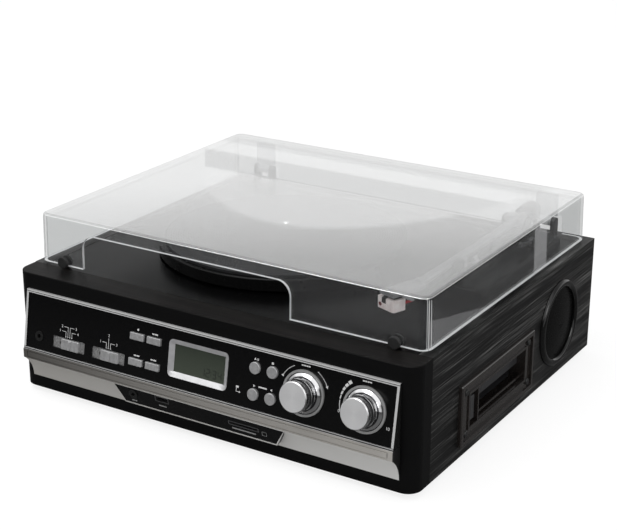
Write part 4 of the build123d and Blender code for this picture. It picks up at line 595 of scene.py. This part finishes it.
segment = grained("display_segment", 3000.0, (0.008, 0.01, 0.008), (0.013, 0.015, 0.012), 0.4)
segments_of = {"1": "bc", "2": "abged", "3": "abgcd", "4": "fgbc"}
digits_up = -0.0055
digit_width = 0.0032
quarter = 0.0062 / 4
stroke = 0.00055
film = 0.00004
glass_sunk = 0.00199
segment_spots = {
    "a": (0.0, 2 * quarter),
    "d": (0.0, -2 * quarter),
    "g": (0.0, 0.0),
    "b": (digit_width / 2, quarter),
    "c": (digit_width / 2, -quarter),
    "f": (-digit_width / 2, quarter),
    "e": (-digit_width / 2, -quarter),
}
digits = []
for place, figure in ((0.0035, "1"), (0.0085, "2"), (0.0145, "3"), (0.0195, "4")):
    for letter in segments_of[figure]:
        along, up = segment_spots[letter]
        lies = letter in "adg"
        size = (digit_width - stroke, stroke) if lies else (stroke, 2 * quarter - stroke)
        digits.append(slab(place + along, digits_up + up, *size, thickness=film))
digits += [disc(0.0115, digits_up + step, 0.0004, 12, film) for step in (0.0012, -0.0012)]
print_on(digits, "display_digits", raised(panel_spot, -glass_sunk), "case", segment)

green_dark = (0.01, 0.07, 0.03)
green_light = (0.03, 0.14, 0.06)
green_tracks = (160.0, 700.0, 700.0)
green = grained("printed_board", green_tracks, green_dark, green_light, 0.45, detail=5.0, stops=(0.4, 0.6))
green.put_on("control_board")


# Sockets in the front.
# Black jacks with a raised collar, and plated shells for the stick and the card. A thin outline
# and short bars are printed beside them.
jack = grained("jack_plastic", 1200.0, 0.006, 0.014, 0.3, 0.15, stops=(0.3, 0.75), Specular_IOR_Level=0.4)
jack.put_on("audio_jacks")

port_tilt = atan2(3.2, 14.3)
port_middle = (0.0, -0.1649525, 0.02635)
port_spot = Matrix.Translation(port_middle) @ Matrix.Rotation(pi / 2 + port_tilt, 4, "X")
grey_ink = grained("grey_print", 2200.0, 0.16, 0.26, 0.5, stops=(0.3, 0.7))
outline = 0.0003
marks = [slab(0.0434, -0.0034, 0.022, 0.0012), slab(-0.0345, -0.0022, 0.0075, 0.0011)]
marks += [slab(-0.0632, -0.0046, 0.005, 0.001)]
marks += [slab(0.0625, up, 0.004, outline) for up in (0.001, -0.0024)]
marks += [slab(x, -0.0007, outline, 0.0034) for x in (0.0605, 0.0645)]
print_on(marks, "socket_print", raised(port_spot, ink_height), "case", grey_ink)


# Deck.
# A glossy black plastic plate between the wood sides, and the raised block at its right, which
# carries the tonearm.
deck_dark = (0.001, 0.001, 0.0011)
deck_light = (0.0025, 0.0025, 0.0027)
deck = grained("deck_gloss", 45.0, deck_dark, deck_light, 0.2, 0.1, Specular_IOR_Level=0.1)
deck.bump(deck.noise(2000.0), 0.08, 0.0001)
deck.put_on("deck_plate", "arm_plateau")


# Platter, mat and spindle.
# A moulded platter with a smooth rim, a dark rubber mat with turned ribs and a polished pin. The
# motor turns it through a belt under its edge.
spin_x = -0.028
spin_y = 0.00715
wide_pitch = 0.021


def ring_finish(name, pitch, dark, light, rough, depth):
    """A finish with fine rings round the spindle, and a light one after each wide pitch."""
    finish = Finish(name, Specular_IOR_Level=0.2)
    x, y = finish.axes()[:2]
    radius = ((x - spin_x) ** 2.0 + (y - spin_y) ** 2.0).maths("SQRT")
    rings = radius.ripple(pitch) * 0.5 + 0.5
    wide = radius.ripple(wide_pitch) > 0.93
    finish.give("Base Color", finish.mix(rings * 0.6 + wide * 0.4, dark, light))
    finish.give("Roughness", rough + finish.noise(130.0) * 0.12)
    finish.bump(rings, 0.5, depth)
    return finish


mat_finish = ring_finish("ribbed_mat", 0.0021, (0.012, 0.012, 0.013), (0.05, 0.05, 0.053), 0.42, 0.0005)
mat_finish.put_on("platter_mat")
platter_finish = ring_finish("turned_platter", 0.0006, 0.003, (0.008, 0.008, 0.0085), 0.2, 0.00004)
platter_finish.put_on("platter", "motor_pulley")
polish = grained("polished_pin", (700.0, 700.0, 2500.0), 0.72, 0.86, 0.12, 0.1, Metallic=1.0)
polish.put_on("spindle")


# Tonearm.
# A pale tube on a turning yoke with a dark weight at its tail. The cartridge has a red stylus
# holder under a white guard, and a hook, a curved lift bar and two levers serve the arm.
tube_dark = (0.26, 0.26, 0.27)
tube_light = (0.38, 0.38, 0.39)
tube = grained(
    "arm_silver", (300.0, 60.0, 300.0), tube_dark, tube_light, 0.3, 0.12, stops=(0.3, 0.75), Metallic=0.5
)
tube.put_on("tonearm", "arm_clip")

fitting_dark = (0.018, 0.018, 0.02)
fitting_light = (0.036, 0.036, 0.038)
fitting = grained(
    "arm_fittings", 1100.0, fitting_dark, fitting_light, 0.3, 0.15, stops=(0.3, 0.75), Specular_IOR_Level=0.45
)
fitting.put_on("arm_yoke", "arm_lift", "cue_lever", "speed_lever", "counterweight")

pickup = Finish("pickup_plastic", Specular_IOR_Level=0.45)
holder_top = 0.1268
pickup_grain = pickup.noise(900.0)
pickup_black = pickup.ramp(pickup_grain, (0.3, 0.008), (0.8, 0.02))
pickup.give("Base Color", pickup.mix(pickup.axes()[2] < holder_top, pickup_black, (0.32, 0.012, 0.016)))
pickup.give("Roughness", 0.28 + pickup_grain * 0.1)
pickup.put_on("cartridge")

guard = Finish("guard_white", Roughness=0.35)
spot_x = 0.1258
spot_height = 0.1248
spot_radius = 0.0016
notch_foot = 0.1264
guard_plain = guard.ramp(guard.noise(260.0), (0.3, (0.76, 0.66, 0.65)), (0.8, (0.92, 0.87, 0.86)))
guard_x, guard_z = guard.axes()[::2]
guard_notch = guard_x.between(0.1274, 0.1318) * (guard_z > notch_foot)
guard_spot = (guard_x - spot_x) ** 2.0 + (guard_z - spot_height) ** 2.0 < spot_radius ** 2
guard_marked = guard.mix(guard_spot, guard_plain, (0.12, 0.008, 0.01))
guard.give("Base Color", guard.mix(guard_notch, guard_marked, 0.01))
guard.put_on("stylus_guard")


# Cover.
# One clear acrylic moulding. It mirrors the room at a low angle. Its rim and the cut in the front are
# painted as bright lines of gathered light, its rounded top edges and corners carry painted reflection
# lines, and painted glare lies on its right wall as a pale haze.
clear = Finish("clear_acrylic", Base_Color=tinted((0.9, 0.91, 0.92)), Roughness=0.3)
clear_x, clear_y, clear_z = clear.axes()
face_x, face_z = clear.facing()[::2]
upright = abs(face_z)
sideways = abs(face_x)
wall_top = 0.145
cut_back = -0.1306
cut_half = 0.15
wall_inside = 0.182
strip_front = 0.052
strip_back = 0.077
glare_height = 0.1048
glare_fall = 0.2165

lid = upright > 0.9
rim_edge = (upright > 0.5) * (clear_z < wall_top)
cut_edge = (sideways > 0.6) * (clear_y < cut_back) * (abs(clear_x) < cut_half)
top_bend = upright.between(0.1, 0.97)
corner_bend = (upright < 0.1) * sideways.between(0.15, 0.985)
# Painted reflection: bright lines on the rounded top edges and corners, chosen by the face direction.
top_reflection_lines = top_bend * (upright.between(0.5, 0.66) + upright.between(0.86, 0.93))
corner_reflection_lines = corner_bend * (sideways.between(0.83, 0.89) + sideways.between(0.95, 0.975))
edge = (rim_edge + cut_edge + corner_reflection_lines * 0.5).maths("MINIMUM", 1.0)
still = 1 - (top_bend + corner_bend) * 0.75
slant = clear.node("ShaderNodeLayerWeight", {}, 0.5).part("Facing")
mirror = (slant ** (5.0 - lid * 2.94) * 0.96 + 0.04) * still + (top_reflection_lines + corner_reflection_lines) * 0.5
# Painted glare: a low triangle and an upright strip on the right wall get a pale diffuse haze.
wall_right = (sideways > 0.9) * (clear_x > wall_inside)
glare_low = wall_right * (clear_z + clear_y * glare_fall < glare_height)
glare_strip = wall_right * clear_y.between(strip_front, strip_back)
smear = clear.noise(14.0, detail=4.0, distortion=0.6)
veil_share = 0.006 + smear * 0.012 + glare_low * 0.1 + glare_strip * 0.22
glassy = clear.node("ShaderNodeBsdfGlossy", {}, Color=tinted(1.0), Roughness=0.015)
through = clear.node("ShaderNodeBsdfTransparent", {}, Color=tinted((0.965, 0.97, 0.97)))
haze = clear.node("ShaderNodeBsdfDiffuse", {}, Color=tinted((0.9, 0.9, 0.92)))
veil = clear.node("ShaderNodeMixShader", {}, veil_share, through, haze)
plate = clear.node("ShaderNodeMixShader", {}, mirror, veil, glassy)
# Painted highlight: the rim and the cut edges show a pale shader as bright lines of gathered light.
edge_glow = Reading(clear, clear.shader.outputs[0])
clear.surface(clear.node("ShaderNodeMixShader", {}, edge * 0.85, plate, edge_glow))
clear.put_on("dust_cover")

milky = grained("milky_plastic", 200.0, (0.55, 0.56, 0.57), (0.7, 0.71, 0.72), 0.3)
milky.put_on("hinge_arms")
fitting.put_on("hinge_brackets")


# Tape slot.
# A glossy brown-black frame in two steps, held to the wood by four screws. Behind it hang the dark
# flap and the grey eject button, and the tape well has two pale reel hubs.
brown_dark = (0.014, 0.0115, 0.0105)
brown_light = (0.018, 0.0155, 0.014)
brown = grained("gloss_brown_black", 90.0, brown_dark, brown_light, 0.06, 0.05, Specular_IOR_Level=1.0)
brown.put_on("tape_bezel")
fitting.put_on("tape_door", "tape_chassis")

eject = grained("eject_grey", 600.0, (0.022, 0.022, 0.023), (0.04, 0.04, 0.042), 0.35)
eject.put_on("eject_button")
guard.put_on("reel_hub_right", "reel_hub_left")

dark_steel = grained("blackened_steel", 1400.0, 0.03, 0.08, 0.3, 0.12, stops=(0.3, 0.75), Metallic=0.8)
dark_steel.put_on("case_screws")


# Loudspeakers.
# A gloss ring round a smooth dome of fine black mesh on each side, with the driver behind the wood.
ring_gloss = grained("speaker_gloss", 120.0, 0.0025, 0.005, 0.07, 0.06, Specular_IOR_Level=0.45)
ring_gloss.put_on("speaker_rings")

mesh_black = Finish("dome_mesh", Specular_IOR_Level=0.06)
mesh_dots = mesh_black.node("ShaderNodeTexVoronoi", {}, mesh_black.spot(), Scale=1400.0)
mesh_black.give("Base Color", mesh_black.ramp(mesh_dots, (0.1, 0.0015), (0.55, 0.005)))
mesh_black.give("Roughness", 0.2 + mesh_dots * 0.12)
mesh_black.bump(mesh_dots, 0.15, 0.0001)
mesh_black.put_on("speaker_grilles")
fitting.put_on("speaker_drivers")


# Back sockets.
# A black plate with two line jacks, one ringed white and one red, and a round power inlet.
collar_foot = 0.1727
tip_foot = 0.1765
jack_split = -0.07
rear = Finish("rear_sockets", Specular_IOR_Level=0.45)
rear_x, rear_y = rear.axes()[:2]
rear_collar = rear_y > collar_foot
rear_tip = rear_y > tip_foot
rear_jacks = rear_x < 0.0
rear_grain = rear.noise(900.0)
rear_black = rear.ramp(rear_grain, (0.3, 0.008), (0.8, 0.018))
rear_ring = rear.mix(rear_x > jack_split, (0.35, 0.01, 0.012), (0.7, 0.7, 0.68))
rear_jack = rear.mix(rear_tip, rear_ring, 0.6)
rear.give("Base Color", rear.mix(rear_collar * rear_jacks, rear_black, rear_jack))
rear.give("Metallic", rear_tip * rear_jacks * 0.9)
rear.give("Roughness", 0.3 + rear_grain * 0.1)
rear.put_on("rear_sockets")


# Studio.
# A white floor and white surroundings, with one soft lamp above and one at the right. The camera
# stands where the photographer stood, in front, to the right and a little above.
bpy.ops.object.select_all(action="DESELECT")
bpy.ops.mesh.primitive_plane_add(size=1.0, location=(0.0, 1.2, -0.0005))
floor = bpy.context.object
floor.name = "floor"
floor.scale = (9.0, 6.4, 1.0)
bpy.ops.object.transform_apply(location=True, rotation=True, scale=True)
paper = Finish("white_floor", Base_Color=tinted(0.93), Roughness=0.8)
paper_path = paper.node("ShaderNodeLightPath", {})
paper_x, paper_y = paper.axes()[:2]
# Painted light: in reflections the floor glows as a pool of light near the object and behind it, and seen
# through the cover it is painted darker.
paper_far = ((paper_x ** 2.0 + paper_y ** 2.0).maths("SQRT") - 0.45).maths("MAXIMUM", 0.0)
paper_near = (1 - paper_far * 1.6).maths("MAXIMUM", 0.04)
paper_back = (paper_y > 0.4).maths("MAXIMUM", paper_near)
paper_seen = paper_path.part("Is Camera Ray")
paper_veiled = paper_path.part("Transparent Depth") > 0.5
paper_light = paper_seen * (1.12 - paper_veiled * 0.42) + (1 - paper_seen) * paper_back * 0.1
paper_glow = paper.node("ShaderNodeEmission", {}, Strength=paper_light)
paper_white = Reading(paper, paper.shader.outputs[0])
paper_share = paper_seen * 0.74 + paper_path.part("Is Glossy Ray") * 0.95
paper.surface(paper.node("ShaderNodeMixShader", {}, paper_share, paper_white, paper_glow))
paper.put_on(floor)

camera_tilt = 20.541
camera_turn = 32.057
camera_right = (0.8475, 0.5308)

# The surroundings, by the direction that a ray leaves in. Behind the object stands a pale screen
# with an arched field at its foot. In front, a ceiling is lit and two cards stand low at the sides.
room = bpy.data.worlds.new("white_room")
bpy.context.scene.world = room
room.use_nodes = True
sky = NodeTree(room.node_tree)
sky_path = sky.node("ShaderNodeLightPath", {})
way = sky.node("ShaderNodeSeparateXYZ", {}, sky.node("ShaderNodeTexCoord", {}).part("Generated"))
way_x, way_y, way_z = way.part("X"), way.part("Y"), way.part("Z")
behind = way_y.rise(0.0, 0.35)

brow_middle = 0.011
brow_half = 0.079
brow_foot = 0.295
brow_swell = 0.033
brow_fall = 1.3
arc_start = -0.068
soft = 0.0005
across = way_x * camera_right[0] + way_y * camera_right[1]
brow_left = ((across - brow_middle) / brow_half).maths("MINIMUM", 0.0)
brow_right = (across - brow_middle).maths("MAXIMUM", 0.0)
brow_round = (1 - brow_left * brow_left).maths("MAXIMUM", 0.0).maths("SQRT")
brow = brow_foot + brow_round * brow_swell - brow_right * brow_right * brow_fall
in_arc = (brow - way_z).rise(-3 * soft, 3 * soft) * across.rise(arc_start - soft, arc_start + soft)

lean = way_z / way_y.maths("MAXIMUM", 0.1)
arc_lit = lean.rise(0.347, 0.3482) * 0.15
arc_dim = lean.rise(0.3565, 0.3577) * 0.22
arc_far = lean.rise(0.3725, 0.3735) * 0.21
arc_level = arc_lit - arc_dim + arc_far + 0.84
outside = 0.96 - way_z.rise(0.3, 0.347) * 0.34
screen = behind * (in_arc * arc_level + (1 - in_arc) * outside - way_z.rise(0.36, 0.5) * 0.2)
above = (1 - behind) * way_z.rise(0.3, 0.42) * 1.2
low_front = (1 - behind) * (1 - way_z.rise(0.3, 0.4))
right_card = way_x.rise(0.55, 0.7) * low_front * 0.75
left_card = (way_x * -1.0).rise(0.72, 0.8) * low_front * 0.55
mirrored = 0.06 + screen + above + right_card + left_card
seen = sky_path.part("Is Camera Ray").maths("MAXIMUM", sky_path.part("Is Transmission Ray"))
glossy = sky_path.part("Is Glossy Ray")
level = seen + (1 - seen) * (glossy * mirrored + (1 - glossy) * 0.7)
background = room.node_tree.nodes["Background"]
sky.fill(background.inputs["Strength"], level)
sky.fill(background.inputs["Color"], tinted(1.0))

for lamp_name, lamp_at, lamp_size, lamp_power in (
    ("soft_box_above", (-0.35, -0.75, 1.6), 1.1, 9.0),
    ("soft_box_right", (1.5, -0.5, 0.9), 0.7, 4.0),
):
    lamp_data = bpy.data.lights.new(lamp_name, "AREA")
    lamp_data.size = lamp_size
    lamp_data.energy = lamp_power
    lamp = bpy.data.objects.new(lamp_name, lamp_data)
    lamp.location = lamp_at
    lamp.rotation_euler = (Vector((0.0, 0.0, 0.08)) - Vector(lamp_at)).to_track_quat("-Z", "Y").to_euler()
    bpy.context.scene.collection.objects.link(lamp)

camera_data = bpy.data.cameras.new("camera")
camera_data.sensor_width = 36.0
camera_data.lens = 88.27
camera = bpy.data.objects.new("camera", camera_data)
camera.location = (0.64039, -1.02406, 0.55119)
camera.rotation_euler = (radians(90.0 - camera_tilt), 0.0, radians(camera_turn))
bpy.context.scene.collection.objects.link(camera)
bpy.context.scene.camera = camera
bpy.context.scene.view_settings.view_transform = "Standard"
